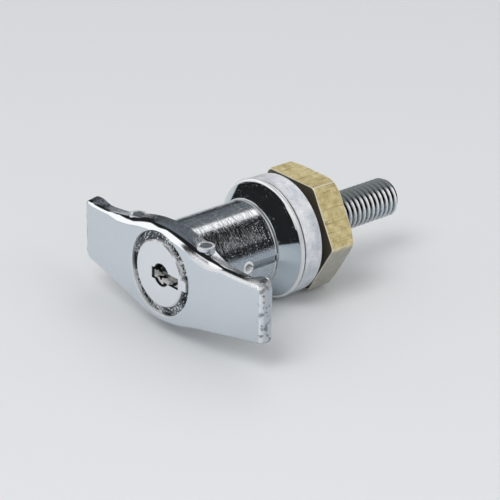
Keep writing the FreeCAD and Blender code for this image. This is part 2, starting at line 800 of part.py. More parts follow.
def make_spindle():
    """Spindle with collar, bolt head and sealed journal, bored for the plug's tail and the stud."""
    retainer_end = "retainer_front + retainer_thickness + seat_clearance"
    shank_bore = "shank_radius + seat_clearance"
    body = turned("spindle_turned_part", [
        ("collar_bore", "collar_front"),
        ("insert_radius", "collar_front"),
        ("insert_radius", "collar_rear"),
        ("head_radius", "collar_rear"),
        ("head_radius", "neck_end"),
        ("journal_radius", "neck_end"),
        ("journal_radius", "seal_place"),
        ("seal_floor", "seal_place"),
        ("seal_floor", "seal_place + seal_groove_width"),
        ("journal_radius", "seal_place + seal_groove_width"),
        ("journal_radius", "retainer_front - seat_clearance"),
        ("retainer_floor", "retainer_front - seat_clearance"),
        ("retainer_floor", retainer_end),
        ("journal_radius", retainer_end),
        ("journal_radius", "spindle_end"),
        (shank_bore, "spindle_end"),
        (shank_bore, "shank_end - face_gap"),
        ("0", "shank_end - face_gap"),
        ("0", "bolt_rear"),
        ("collar_bore", "bolt_rear"),
    ])
    side = "(bolt_half_width + slide_clearance)"
    channel = block("bolt_channel", ("-" + side, side),
                    ("bolt_front - slide_clearance", "bolt_rear + slide_clearance"),
                    ("-insert_radius", "bolt_inner_end + slide_clearance"))
    pin_hole = rod("collar_pin_hole", "roll_pin_radius", "insert_radius", "insert_radius - roll_pin_hold",
                   "pin_place", turn=ALONG_X)
    margin = stop_lug_half_angle + stop_margin
    notch = ring("stop_notch", "insert_radius + face_gap", "head_radius", "stop_end - face_gap",
                 "collar_rear - stop_end + face_gap * 2", AT_TOP - handle_swing - margin,
                 str(handle_swing + 2 * margin))
    node("spindle", cut("spindle_finished", body, channel, pin_hole, notch))


def make_roll_pin():
    """Slit, hollow spring pin through the neck's side into the collar."""
    inner_end = "insert_radius - roll_pin_hold"
    roll = rod("roll_pin_solid", "roll_pin_radius", "neck_radius - (%s)" % inner_end, inner_end,
               "pin_place", turn=ALONG_X)
    below = inner_end + " - face_gap"
    hollow = rod("roll_pin_hollow", "roll_pin_radius - roll_pin_wall", "neck_radius", below, "pin_place",
                 turn=ALONG_X)
    slit = block("roll_pin_slit_cut", (below, "neck_radius * 2"),
                 ("pin_place", "pin_place + roll_pin_radius * 2"),
                 ("-roll_pin_slit / 2", "roll_pin_slit / 2"))
    node("roll_pin", cut("roll_pin_open", roll, hollow, slit))


def make_spindle_rings():
    """Seal in the journal's groove, and washer and open ring that hold the spindle from behind."""
    seal = doc.addObject("Part::Torus", "seal_torus")
    section = "seal_groove_depth / 2"
    tie(seal, Radius1="seal_floor + turn_clearance / 2 + " + section, Radius2=section)
    put(seal, y="seal_place + seal_groove_width / 2", turn=ALONG_Y)
    node("spindle_seal", seal)
    node("thrust_washer", ring("washer", "barrel_radius - barrel_chamfer", "journal_radius + turn_clearance",
                               "washer_front", "washer_thickness"))
    retainer = ring("retainer_whole", "retainer_floor + seat_clearance + retainer_width",
                    "retainer_floor + seat_clearance", "retainer_front", "retainer_thickness")
    gap = block("retainer_gap", ("-journal_radius * 2", "0"),
                ("retainer_front - face_gap", "retainer_front + retainer_thickness + face_gap"),
                ("-retainer_width", "retainer_width"))
    node("spindle_retaining_ring", cut("retainer_open", retainer, gap))


def make_locking_bolt():
    """Bolt across the spindle's head, slotted for the eccentric pin."""
    bolt = block("bolt_solid", ("-bolt_half_width", "bolt_half_width"), ("bolt_front", "bolt_rear"),
                 ("-head_radius + bolt_setback", "bolt_inner_end"))
    play = "(drive_pin_radius + slide_clearance * 2)"
    slot = block("bolt_slot", ("drive_pin_x - " + play, "drive_pin_orbit + " + play),
                 ("bolt_front - face_gap", "bolt_rear + face_gap"),
                 ("drive_pin_z - " + play, "drive_pin_z + " + play))
    node("locking_bolt", cut("bolt_slotted", bolt, slot))


def make_stud():
    """Threaded stud, held by its shank in the spindle's end."""
    body = turned("threaded_stud", [
        ("0", "shank_end"),
        ("shank_radius", "shank_end"),
        ("shank_radius", "spindle_end"),
        ("stud_radius", "spindle_end"),
        ("stud_radius", "stud_tip - stud_chamfer"),
        ("stud_radius - stud_chamfer", "stud_tip"),
        ("0", "stud_tip"),
    ])
    thread(body, "stud_thread", "stud_radius", "stud_thread_depth", "stud_pitch",
           "spindle_end + stud_pitch", "stud_tip - stud_chamfer - stud_pitch / 2")
    node("threaded_stud", body)


make_housing()
make_gasket_and_spacer()
make_hex_nut()
make_handle_casting()
make_lock_insert()
make_insert_ring()
make_key_plug()
make_plug_clip()
node("drive_pin", drive_pin_rod("drive_pin_solid", "bolt_rear - face_gap - (tail_end - drive_pin_hold)"))
for k in range(wafer_count):
    make_wafer(k)
    make_wafer_spring(k)
make_spindle()
make_roll_pin()
make_spindle_rings()
make_locking_bolt()
make_stud()
doc.recompute()

# Every object has to be sound before anything is written
for thing in doc.Objects:
    if "Invalid" in thing.State or "Error" in thing.State:
        raise RuntimeError("%s did not rebuild: %s" % (thing.Label, thing.State))
for thing in nodes:
    if thing.Shape.isNull() or not thing.Shape.isValid() or not thing.Shape.Solids:
        raise RuntimeError("%s has no sound solid" % thing.Label)

os.makedirs("parts", exist_ok=True)
for thing in nodes:
    thing.Shape.exportStep("parts/%s.step" % thing.Label)
    box = thing.Shape.BoundBox
    print("%-24s %8.2f mm3  x %6.2f %6.2f  y %6.2f %6.2f  z %6.2f %6.2f  solids %d" % (
        thing.Label, thing.Shape.Volume, box.XMin, box.XMax, box.YMin, box.YMax, box.ZMin, box.ZMax,
        len(thing.Shape.Solids)))
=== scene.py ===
import bpy
import numpy as np
from mathutils import Matrix


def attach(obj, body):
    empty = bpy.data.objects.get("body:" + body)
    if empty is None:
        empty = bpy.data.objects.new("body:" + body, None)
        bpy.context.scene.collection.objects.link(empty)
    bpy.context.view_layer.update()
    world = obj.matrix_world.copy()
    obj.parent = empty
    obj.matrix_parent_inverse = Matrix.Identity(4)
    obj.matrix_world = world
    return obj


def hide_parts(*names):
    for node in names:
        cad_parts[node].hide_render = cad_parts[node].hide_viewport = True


# Wing knob handle lock. +Y runs along the lock's axis from the wing to the stud, X along the wing, +Z up.
# Lengths of the pieces are in millimetres, and solid() turns them into metres.
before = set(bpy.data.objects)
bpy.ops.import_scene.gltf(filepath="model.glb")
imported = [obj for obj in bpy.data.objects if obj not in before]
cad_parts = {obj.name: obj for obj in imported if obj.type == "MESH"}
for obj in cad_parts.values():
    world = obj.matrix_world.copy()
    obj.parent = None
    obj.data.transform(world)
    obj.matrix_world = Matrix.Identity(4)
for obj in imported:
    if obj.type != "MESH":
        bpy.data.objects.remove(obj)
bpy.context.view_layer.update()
MM = 0.001

# Handle casting
WING_FACE = -26.1
WING_REAR = -21.3
WING_HALF_LENGTH = 25.5
WING_END_HALF_HEIGHT = 6.0
WING_FLANK_RISE = 0.0289
WING_FLANK_POWER = 1.533
WING_CREST = 9.42
WING_CREST_FALL = 0.0181
WING_WAIST_BLEND = 0.08
WING_MIDDLE_EASING = 4.0
WING_ROUND_CORNER = 1.7
WING_TIGHT_CORNER = 1.0
FRONT_BOW_RADIUS = 136.7
REAR_BOW_RADIUS = 542.0
RIGHT_END_SWEEP = 0.6
RIGHT_SWEEP_START = 13.0
RECESS_RADIUS = 8.35
RECESS_FLOOR = -25.0
RECESS_RIM = 0.12
NECK_RADIUS = 8.7
NECK_END = -4.05
NECK_EDGE = 0.4
NECK_FOOT = 0.35
NECK_BORE = 7.35
NECK_REAR_BORE = 7.6
INSERT_SEAT = -23.9
REAR_BORE_START = -9.2
PIN_PLACE = -11.35
PIN_RADIUS = 1.3
PIN_BORE = 0.8
PIN_INNER_END = 4.3
PIN_OUTER_END = NECK_RADIUS + 0.02
PIN_SLIT_HALF_ANGLE = 0.19
PIN_HOLE_GAP = 0.04
PIN_HOLE_DEPTH = 1.2
GROOVE_WIDTH = 1.4
GROOVE_DEPTH = 0.5
PAD_TOPS = {-9.9: 8.05, 9.9: 8.45}
PAD_PLACE = -23.0
PAD_RADIUS = 1.7
PAD_DEPTH = 2.4
PAD_DISH_DEPTH = 0.2

# The wing's edges and finger scoop. A range is where along X, from the middle outwards, a change takes place
TOP_EDGE = 1.4
TOP_EDGE_MIDDLE_EXTRA = 1.1
TOP_EDGE_MIDDLE_RANGE = (13, 17)
TOP_EDGE_LEFT_LOSS = 0.8
TOP_EDGE_LEFT_RANGE = (22.5, 25.2)
TOP_EDGE_OPENING = 32
TOP_EDGE_LEFT_OPENING = 6
LEFT_OPENING_RANGE = (11, 15)
LOWER_EDGE = 0.5
END_EDGE = 0.55
REAR_EDGE = 0.4
REAR_EDGE_END_EXTRA = 0.4
REAR_EDGE_RANGE = (22, 25.3)
SCOOP_DEPTH = 0.58
SCOOP_ROUND_EXTRA = 0.6
SCOOP_START_RANGE = (8, 14)
SCOOP_END_RANGE = (19.5, 24)
END_FLARE = 0.38
END_FLARE_RANGE = (20.5, 24.2)

# Housing, rings, nut and stud
SPIGOT_INNER = 6.2
SPIGOT_OUTER = 7.5
SPIGOT_FRONT = -8.8
LUG_END = -10.1
LUG_OUTER = 7.3
LUG_HALF_ANGLE = 12
NOTCH_REAR = -6.25
NOTCH_HALF_WIDTH = 2.25
FLANGE_FRONT = -3.9
CONE_FRONT_RADIUS = 8.9
FLANGE_RADIUS = 12.0
LIP_FOOT = (11.4, -0.82)
LIP_RIDGE = (11.46, -0.64)
LIP_VALLEY = (11.56, -0.7)
LIP_FRONT = -0.5
BARREL_RADIUS = 8.0
BARREL_BORE = 5.6
BARREL_PITCH = 1.5
BARREL_THREAD_DEPTH = 0.9
BARREL_THREAD_START = 0.6
BARREL_THREAD_FULL = 2.2
BARREL_CHAMFER = 0.8
BARREL_END = 13.9
GASKET_RADIUS = 11.8
GASKET_THICKNESS = 0.4
DOOR_BORE = 8.3
SPACER_RADIUS = 11.9
SPACER_REAR = 4.6
SPACER_EDGE = 0.3
NUT_FRONT = 6.7
NUT_REAR = 12.8
NUT_ACROSS_FLATS = 21.8
NUT_FRONT_RADIUS = 12.29
NUT_REAR_RADIUS = 11.49
NUT_CORNER_RADIUS = 12.56
NUT_CORNER_POWER = 300
NUT_BORE = 8.05
NUT_BORE_LEAD = 0.45
NUT_TURN = -1.5
STUD_RADIUS = 4.0
STUD_PITCH = 1.25
STUD_THREAD_DEPTH = 0.76
STUD_CHAMFER = 0.8
SHANK_RADIUS = 3.2
SHANK_END = 6.4
SPINDLE_END = 16.4
STUD_TIP = 33.5
STUD_TIP_MIDDLE = 1.5

# The floor's height in metres, just under the flange's lip
FLOOR = -0.01206

# The camera, as the photograph's own was found to stand
CAMERA_AZIMUTH = -42.011
CAMERA_ELEVATION = 23.992
CAMERA_ROLL = 1.162
CAMERA_DISTANCE = 0.40472
CAMERA_LENS = 150.3
CAMERA_SHIFT = (-0.0267, -0.0244)


def steps(first, last, count):
    """Evenly spaced numbers from first to last, as a column of rows."""
    return np.linspace(first, last, count)[:, None]


def smooth_step(value, low, high):
    """0 below low, 1 above high, and 3t^2 - 2t^3 between them."""
    share = np.clip((value - low) / (high - low), 0, 1)
    return share * share * (3 - 2 * share)


def shell(points, ring=False, mark=0.0):
    """Vertices, faces and marks of a grid of points [row, column, xyz] whose columns close round.
    The rows close round too where ring is set. Otherwise a fan about the middle of each end row closes it.
    The faces point outwards: their order is turned round where the volume, a sixth of the sum of
    a . (b x c) over the triangles, comes out negative."""
    rows, columns = points.shape[:2]
    here = np.arange(rows * columns).reshape(rows, columns)
    beside = np.roll(here, -1, axis=1)
    quads = np.stack([here, beside, np.roll(beside, -1, axis=0), np.roll(here, -1, axis=0)], axis=-1)
    vertices = points.reshape(-1, 3)
    marks = np.broadcast_to(mark, (rows, columns)).reshape(-1)
    fans = np.zeros((0, 3), int)
    if not ring:
        quads = quads[:-1]
        vertices = np.vstack([vertices, points[0].mean(axis=0), points[-1].mean(axis=0)])
        marks = np.append(marks, [marks[0], marks[-1]])
        first = np.full(columns, rows * columns)
        fans = np.vstack([np.stack([beside[0], here[0], first], axis=-1),
                          np.stack([here[-1], beside[-1], first + 1], axis=-1)])
    quads = quads.reshape(-1, 4)
    triangles = np.vstack([quads[:, [0, 1, 2]], quads[:, [0, 2, 3]], fans])
    a, b, c = (vertices[triangles[:, k]] for k in range(3))
    if np.sum(a * np.cross(b, c)) < 0:
        quads, fans = quads[:, ::-1], fans[:, ::-1]
    return vertices, quads, fans, marks


def marked_shell(*parts, ring=False):
    """A shell of rows of points; each part is its rows and their mark."""
    marks = [np.broadcast_to(mark, rows.shape[:2]) for rows, mark in parts]
    return shell(np.concatenate([rows for rows, mark in parts]), ring=ring, mark=np.concatenate(marks))


def solid(name, body, slot, material, nodes, *shells, crease=32):
    """A piece made of closed shells, in metres, that rides on a body and stands for CAD nodes.
    Edges sharper than crease degrees stay sharp. Each vertex keeps its mark."""
    vertices, faces, marks = [], [], []
    count = 0
    for points, quads, fans, mark in shells:
        faces += (quads + count).tolist() + (fans + count).tolist()
        vertices.append(points)
        marks.append(mark)
        count += len(points)
    mesh = bpy.data.meshes.new(name)
    mesh.from_pydata(np.vstack(vertices) * MM, [], faces)
    attribute = mesh.attributes.new("mark", "FLOAT", "POINT")
    attribute.data.foreach_set("value", np.concatenate(marks).astype(np.float32))
    mesh.shade_smooth()
    mesh.set_sharp_from_angle(angle=np.radians(crease))
    mesh.materials.append(material)
    piece = bpy.data.objects.new(name, mesh)
    bpy.context.scene.collection.objects.link(piece)
    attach(piece, body)
    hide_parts(*nodes)


def rounded_line(*corners, arc=5):
    """Points (radius, place) on a line through corners (radius, place, rounding).
    An arc that touches both sides takes each rounded corner's place. With a and b from the arc's centre
    to its ends and w the angle between them, its points are (a sin((1 - s) w) + b sin(s w)) / sin w."""
    spots = np.array([corner[:2] for corner in corners], float)
    line = []
    for before, corner, after, rounding in zip(np.roll(spots, 1, axis=0), spots, np.roll(spots, -1, axis=0),
                                               [corner[2] for corner in corners]):
        if rounding == 0:
            line.append(corner[None])
            continue
        to_before = (before - corner) / np.linalg.norm(before - corner)
        to_after = (after - corner) / np.linalg.norm(after - corner)
        half = np.arccos(np.clip(to_before @ to_after, -1, 1)) / 2
        inwards = (to_before + to_after) / np.linalg.norm(to_before + to_after)
        centre = corner + inwards * rounding / np.sin(half)
        start = corner + to_before * rounding / np.tan(half) - centre
        end = corner + to_after * rounding / np.tan(half) - centre
        swing = np.pi - 2 * half
        share = steps(0, 1, arc)
        from_centre = start * np.sin((1 - share) * swing) + end * np.sin(share * swing)
        line.append(centre + from_centre / np.sin(swing))
    return np.vstack(line)


def turned(radius, place, angle):
    """Points at (radius cos angle, place, radius sin angle): a turned surface about the lock's axis."""
    radius, place, angle = np.broadcast_arrays(radius, place, angle)
    return np.stack([radius * np.cos(angle), place, radius * np.sin(angle)], axis=-1)


def round_angles(columns):
    """Angles about the axis from +X towards +Z, one for each column, as a row."""
    return np.linspace(0, 2 * np.pi, columns, endpoint=False)[None]


def turned_ring(columns, *corners):
    """A turned piece whose section is the closed line through the corners."""
    line = rounded_line(*corners)
    return shell(turned(line[:, :1], line[:, 1:], round_angles(columns)), ring=True)


def thread_radius(radius, depth, pitch, place, angle):
    """The radius of a right-hand thread: the crest's radius less depth times a raised cosine,
    (1 - cos w) / 2 with w = 2 pi place / pitch + angle."""
    return radius - depth * (1 - np.cos(2 * np.pi * place / pitch + angle)) / 2


def half_height(x):
    """Half the wing's height at x. The crest is c = crest - fall x^2 and the flank f = end + rise d^power,
    where d = half length - hypot(x, easing) is the way to the end. The height is
    (c + f) / 2 + sqrt(((c - f) / 2)^2 + blend^2), the higher of both with a soft passage."""
    crest = WING_CREST - WING_CREST_FALL * x * x
    way = np.maximum(WING_HALF_LENGTH - np.hypot(x, WING_MIDDLE_EASING), 0)
    flank = WING_END_HALF_HEIGHT + WING_FLANK_RISE * way ** WING_FLANK_POWER
    return (crest + flank) / 2 + np.hypot((crest - flank) / 2, WING_WAIST_BLEND)


def wing_quarter(corner):
    """A quarter of the wing's outline, x and z from the end's middle to the crest: the straight end, an arc
    of the corner's radius that ends in the flank's direction, and half_height along the flank."""
    corner_x = WING_HALF_LENGTH - corner
    slope = half_height(corner_x - 0.5) - half_height(corner_x + 0.5)
    arc = np.linspace(0, np.pi / 2 - np.arctan(slope), 24)
    join_x = corner_x + corner * np.cos(arc[-1])
    corner_z = half_height(join_x) - corner * np.sin(arc[-1])
    flank_x = np.linspace(join_x, 0, 400)[1:]
    return (np.concatenate([[WING_HALF_LENGTH], corner_x + corner * np.cos(arc), flank_x]),
            np.concatenate([[0], corner_z + corner * np.sin(arc), half_height(flank_x)]))


def wing_outline(columns):
    """The wing's outline seen from the front and its outward directions, both as [column, xz].
    Its upper half has the round corner on the right and the tight one on the left, the lower half is
    the upper one turned by 180 degrees, and the columns divide the whole into equal lengths."""
    right_x, right_z = wing_quarter(WING_ROUND_CORNER)
    left_x, left_z = wing_quarter(WING_TIGHT_CORNER)
    upper_x = np.concatenate([right_x, -left_x[-2::-1]])
    upper_z = np.concatenate([right_z, left_z[-2::-1]])
    whole_x = np.concatenate([upper_x, -upper_x[1:]])
    whole_z = np.concatenate([upper_z, -upper_z[1:]])
    along = np.concatenate([[0], np.cumsum(np.hypot(np.diff(whole_x), np.diff(whole_z)))])
    wanted = np.linspace(0, along[-1], columns, endpoint=False)
    spots = np.stack([np.interp(wanted, along, whole_x), np.interp(wanted, along, whole_z)], axis=-1)
    way = np.roll(spots, -1, axis=0) - np.roll(spots, 1, axis=0)
    outwards = np.stack([way[:, 1], -way[:, 0]], axis=-1)
    return spots, outwards / np.linalg.norm(outwards, axis=1, keepdims=True)


def bowed(x, place, radius):
    """Where a bowed side of the wing lies: an arc about a line parallel to Z, its right end swept back."""
    sweep = RIGHT_END_SWEEP * smooth_step(x, RIGHT_SWEEP_START, WING_HALF_LENGTH)
    return place + radius - np.sqrt(radius ** 2 - x * x) + sweep


def front_place(x):
    """Where the front lies."""
    return bowed(x, WING_FACE, FRONT_BOW_RADIUS)


def rear_place(x):
    """Where the rear lies."""
    return bowed(x, WING_REAR, REAR_BOW_RADIUS)


def at_place(flat, place):
    """Points from [.., xz] and their places along the axis."""
    return np.stack([flat[..., 0], place, flat[..., 1]], axis=-1)


def round_spots(angle, radius):
    """Spots [.., xz] at these angles on a circle about the axis."""
    return np.stack([np.cos(angle), np.sin(angle)], axis=-1) * radius


def front_edge(x, outwards, above, below):
    """The rounded front edge's radius and the angle of its arc. It is widest along the top's middle and ends
    short of the side there by the opening, in degrees, and it is tight below and at the ends."""
    top = (TOP_EDGE + TOP_EDGE_MIDDLE_EXTRA * (1 - smooth_step(np.abs(x), *TOP_EDGE_MIDDLE_RANGE))
           - TOP_EDGE_LEFT_LOSS * smooth_step(-x, *TOP_EDGE_LEFT_RANGE))
    radius = top * above + LOWER_EDGE * below + END_EDGE * outwards[:, 0] ** 2
    opening = TOP_EDGE_OPENING + TOP_EDGE_LEFT_OPENING * smooth_step(-x, *LEFT_OPENING_RANGE)
    return radius, np.radians(90 - opening * above)


def finger_scoop(spots):
    """How deep the flanks are scooped at the rear, more on the side of the round corner, with a flare at
    the ends."""
    way = np.abs(spots[:, 0])
    round_corner = smooth_step(spots[:, 1] * np.sign(spots[:, 0]), -3, 3)
    flank = smooth_step(way, *SCOOP_START_RANGE) * (1 - smooth_step(way, *SCOOP_END_RANGE))
    flare = END_FLARE * smooth_step(way, *END_FLARE_RANGE)
    return (SCOOP_DEPTH + SCOOP_ROUND_EXTRA * round_corner) * flank - flare


def front_rows(spots, outwards, edge, edge_turn):
    """The recess's wall and rim, the front and the rounded front edge. The edge is an arc of radius r over
    the angle w: at depth d inside the outline it lies r - sqrt(r^2 - (r sin w - d)^2) behind the front. It
    starts 0.1 outside the recess's rim where it would reach that far: from a spot s of the outline with the
    outward direction n, the rim's circle of radius c is n.s - sqrt((n.s)^2 - s.s + c^2) away."""
    rim_radius = RECESS_RADIUS + RECESS_RIM
    edge_depth = edge * np.sin(edge_turn)
    across = np.sum(spots * outwards, axis=1)
    square = across ** 2 - np.sum(spots ** 2, axis=1) + rim_radius ** 2
    to_rim = np.where(square > 0, across - np.sqrt(np.maximum(square, 0)), np.inf)
    inner_depth = np.minimum(edge_depth, to_rim - 0.1)
    inner_turn = np.arcsin(np.clip((edge_depth - inner_depth) / edge, 0, 1))
    inner = spots - outwards * inner_depth[:, None]
    angle = np.arctan2(inner[:, 1], inner[:, 0])[None]
    rim = round_spots(angle[0], rim_radius)

    face = rim + (inner - rim) * steps(0, 1, 14)[..., None]
    depth = inner_depth + np.linalg.norm(face - inner, axis=-1)
    dip = edge - np.sqrt(edge ** 2 - np.maximum(edge_depth - depth, 0) ** 2)
    face_rows = at_place(face, front_place(face[..., 0]) + dip)
    turn = inner_turn + (edge_turn - inner_turn) * steps(0, 1, 13)[1:]
    round_edge = spots - outwards * (edge_depth - edge * np.sin(turn))[..., None]
    edge_rows = at_place(round_edge, front_place(round_edge[..., 0]) + edge * (1 - np.cos(turn)))

    wall_rows = turned(RECESS_RADIUS, np.array([[INSERT_SEAT], [RECESS_FLOOR]]), angle)
    turn = steps(0, np.pi / 2, 4)[:-1]
    rim_rows = turned(RECESS_RADIUS + RECESS_RIM * (1 - np.cos(turn)),
                      face_rows[0, :, 1] + RECESS_RIM * (1 - np.sin(turn)), angle)
    return wall_rows, rim_rows, face_rows, edge_rows


def neck_side(angle):
    """The neck's outside at these angles, with its places along the axis and how deep it is sunk there by
    the groove and the pin's hole."""
    place = np.concatenate([np.linspace(-20.7, -13.0, 6), np.linspace(PIN_PLACE - 1.55, PIN_PLACE + 1.55, 32),
                            np.linspace(-9.6, NECK_END - 0.7, 8), [NECK_END - 0.55, NECK_END - NECK_EDGE]])
    turn = steps(0, np.pi / 2, 6)[1:]
    rounding = np.vstack([np.zeros((len(place), 1)), NECK_EDGE * (1 - np.cos(turn))])
    place = np.vstack([place[:, None], NECK_END - NECK_EDGE * (1 - np.sin(turn))])
    height = NECK_RADIUS * np.sin(angle)
    groove = (smooth_step(GROOVE_WIDTH / 2 - np.abs(height), -0.04, 0.04)
              * smooth_step(place, PIN_PLACE, PIN_PLACE + 0.1))
    hole = smooth_step(PIN_RADIUS + PIN_HOLE_GAP - np.hypot(height, place - PIN_PLACE), -0.05, 0.05)
    sunk = np.maximum(groove * GROOVE_DEPTH, hole * PIN_HOLE_DEPTH) * (np.cos(angle) > 0)
    return turned(NECK_RADIUS - rounding - sunk, place, angle), place, sunk


def casting_shell(columns):
    """The wing and neck as one closed grid. Each column starts on the outline; its rows go round the section,
    from the recess over the front, the rounded front edge, the side, the rear face and the neck into the
    bore. Towards the rear the flanks are scooped for the fingers. Painted highlights on edges and ends are
    marked above 0; the bare casting, and painted shade in the groove and the pin's hole, below it."""
    spots, outwards = wing_outline(columns)
    x = spots[:, 0]
    above, below = np.maximum(outwards[:, 1], 0) ** 2, np.maximum(-outwards[:, 1], 0) ** 2
    edge, edge_turn = front_edge(x, outwards, above, below)
    back = REAR_EDGE + REAR_EDGE_END_EXTRA * smooth_step(np.abs(x), *REAR_EDGE_RANGE)
    drop = np.stack([np.zeros(columns), -finger_scoop(spots) * outwards[:, 1]], axis=-1)

    side_start = front_place(x) + edge * (1 - np.cos(edge_turn))
    side_end = rear_place(x) - back
    share = steps(0, 1, 10)[1:]
    side_rows = at_place(spots + drop * share[..., None], side_start + (side_end - side_start) * share)
    turn = steps(0, np.pi / 2, 8)[1:]
    rear_edge = spots + drop - outwards * (back * (1 - np.cos(turn)))[..., None]
    rear_edge_rows = at_place(rear_edge, rear_place(rear_edge[..., 0]) - back * (1 - np.sin(turn)))

    rear = spots + drop - outwards * back[:, None]
    angle = np.arctan2(rear[:, 1], rear[:, 0])[None]
    foot = round_spots(angle[0], NECK_RADIUS + NECK_FOOT)
    rear_face = rear + (foot - rear) * steps(0, 1, 9)[1:][..., None]
    rear_rows = at_place(rear_face, rear_place(rear_face[..., 0]))
    turn = steps(0, np.pi / 2, 6)[1:]
    foot_rows = turned(NECK_RADIUS + NECK_FOOT - NECK_FOOT * np.sin(turn),
                       rear_place(foot[:, 0])[None] + NECK_FOOT * (1 - np.cos(turn)), angle)
    neck_rows, place, sunk = neck_side(angle)
    bore = np.array([[NECK_REAR_BORE + 0.1, NECK_END], [NECK_REAR_BORE, NECK_END - 0.1],
                     [NECK_REAR_BORE, REAR_BORE_START], [NECK_BORE, REAR_BORE_START],
                     [NECK_BORE, INSERT_SEAT]])
    bore_rows = turned(bore[:, :1], bore[:, 1:], angle)

    # Marks above 0 are painted highlights: on the ends, along the top's front edge on the right flank, on the
    # rear edge's right flank, and at the neck's end. Marks below 0 are the bare casting, and painted shade in
    # the groove and the pin's hole.
    end_face = smooth_step(np.abs(outwards[:, 0]), 0.6, 0.9)
    end_highlight = 0.5 * smooth_step(x, 20.5, 24.5) * above + 0.5 * end_face
    top_edge_highlight = 0.7 * smooth_step(x, 7, 11) * above * (1 - smooth_step(steps(0, 1, 12), 0.35, 0.6))
    bare_side = 0.35 * smooth_step(share, 0.1, 0.4) * (above + below) * (1 - end_highlight)
    rear_casting_and_highlight = (0.35 - 0.7 * smooth_step(x, 8, 14)) * above
    hollow_shade = 0.8 * np.clip(sunk / GROOVE_DEPTH, 0, 1)
    neck_highlight_and_shade = smooth_step(place, NECK_END - 0.5, NECK_END - 0.4) - hollow_shade
    wall_rows, rim_rows, face_rows, edge_rows = front_rows(spots, outwards, edge, edge_turn)
    # The recess's rim and the neck's foot carry painted highlights (mark 1).
    return marked_shell((wall_rows, 0), (rim_rows, 1), (face_rows, 0),
                        (edge_rows, np.maximum(top_edge_highlight, 1.6 * end_highlight)),
                        (side_rows, 0.7 * end_highlight - bare_side), (rear_edge_rows, end_highlight - rear_casting_and_highlight),
                        (rear_rows, 0), (foot_rows, 1), (neck_rows, neck_highlight_and_shade), (bore_rows, 0), ring=True)


def pad_shell(x, top):
    """A round cast pad on the wing's top side: a rounded wall, a rim with a painted highlight and a dished
    top, turned about a line along Z."""
    line = rounded_line((0.02, top - PAD_DEPTH, 0), (PAD_RADIUS, top - PAD_DEPTH, 0), (PAD_RADIUS, top, 0.2),
                        (PAD_RADIUS - 0.42, top, 0.12), (PAD_RADIUS - 0.6, top - 0.14, 0.12),
                        (0.02, top - PAD_DISH_DEPTH, 0))
    angle = round_angles(56)
    radius, height = line[:, :1], line[:, 1:]
    points = np.stack(np.broadcast_arrays(x + radius * np.cos(angle), PAD_PLACE + radius * np.sin(angle),
                                          height), axis=-1)
    # The rim's mark is a painted highlight; the dish is marked as bare casting.
    rim = (smooth_step(height, top - 0.25, top - 0.1)
           * smooth_step(radius, PAD_RADIUS - 0.55, PAD_RADIUS - 0.45))
    dished = 1 - smooth_step(radius, PAD_RADIUS - 0.7, PAD_RADIUS - 0.55)
    return marked_shell((points, 0.8 * rim - 0.2 * dished))


def roll_pin_shell():
    """The slit, hollow pin: a rounded section carried round the pin's own axis, parallel to X,
    from one side of the slit to the other."""
    line = rounded_line((PIN_RADIUS, PIN_INNER_END, 0.1), (PIN_RADIUS, PIN_OUTER_END, 0.22),
                        (PIN_BORE, PIN_OUTER_END, 0.1), (PIN_BORE, PIN_INNER_END, 0.1), arc=6)
    angle = steps(PIN_SLIT_HALF_ANGLE, 2 * np.pi - PIN_SLIT_HALF_ANGLE, 64)
    radius, along = line[:, 0][None], line[:, 1][None]
    points = np.broadcast_arrays(along, PIN_PLACE + radius * np.cos(angle), radius * np.sin(angle))
    return shell(np.stack(points, axis=-1))


def housing_shell():
    """Spigot, cone flange and threaded barrel as one closed grid. The spigot's front edge steps forward at
    the stop lug and back at the two bolt notches, so its place changes with the angle. The lip is marked for
    a painted highlight."""
    angle = round_angles(288)
    lug = np.abs(np.degrees(angle) - 90) < LUG_HALF_ANGLE
    x, z = SPIGOT_INNER * np.cos(angle), SPIGOT_INNER * np.sin(angle)
    notch = ((np.abs(x) < NOTCH_HALF_WIDTH) & (z < 0)) | ((np.abs(z) < NOTCH_HALF_WIDTH) & (x < 0))
    half_way = np.where(notch, NOTCH_REAR, SPIGOT_FRONT)
    front = np.where(lug, LUG_END, half_way)
    outer = np.where(lug, LUG_OUTER, SPIGOT_OUTER)
    spigot_rows = [turned(radius, place, angle) for radius, place in (
        (SPIGOT_INNER, FLANGE_FRONT), (SPIGOT_INNER, front), (outer, front), (outer, half_way),
        (SPIGOT_OUTER, half_way))]
    line = rounded_line((SPIGOT_OUTER, FLANGE_FRONT, 0), (CONE_FRONT_RADIUS, FLANGE_FRONT, 0.15),
                        (*LIP_FOOT, 0.04), (*LIP_RIDGE, 0.04), (*LIP_VALLEY, 0.07),
                        (FLANGE_RADIUS, LIP_FRONT, 0.3), (FLANGE_RADIUS, 0, 0.08), (BARREL_RADIUS, 0, 0))
    flange_rows = turned(line[:-1, :1], line[:-1, 1:], angle)
    place = steps(0, BARREL_END, 130)
    cut = thread_radius(BARREL_RADIUS, BARREL_THREAD_DEPTH, BARREL_PITCH, place, angle)
    started = smooth_step(place, BARREL_THREAD_START, BARREL_THREAD_FULL)
    cut = BARREL_RADIUS + (cut - BARREL_RADIUS) * started
    tip = BARREL_RADIUS - np.maximum(place - BARREL_END + BARREL_CHAMFER, 0)
    barrel_rows = turned(np.minimum(cut, tip), place, angle)
    end_rows = turned(BARREL_BORE, np.array([[BARREL_END], [FLANGE_FRONT]]), angle)
    points = np.concatenate([*spigot_rows, flange_rows, barrel_rows, end_rows])
    # The lip's mark: a painted highlight.
    lip = smooth_step(np.hypot(points[..., 0], points[..., 2]), LIP_RIDGE[0] + 0.01, LIP_VALLEY[0])
    return shell(points, ring=True, mark=lip)


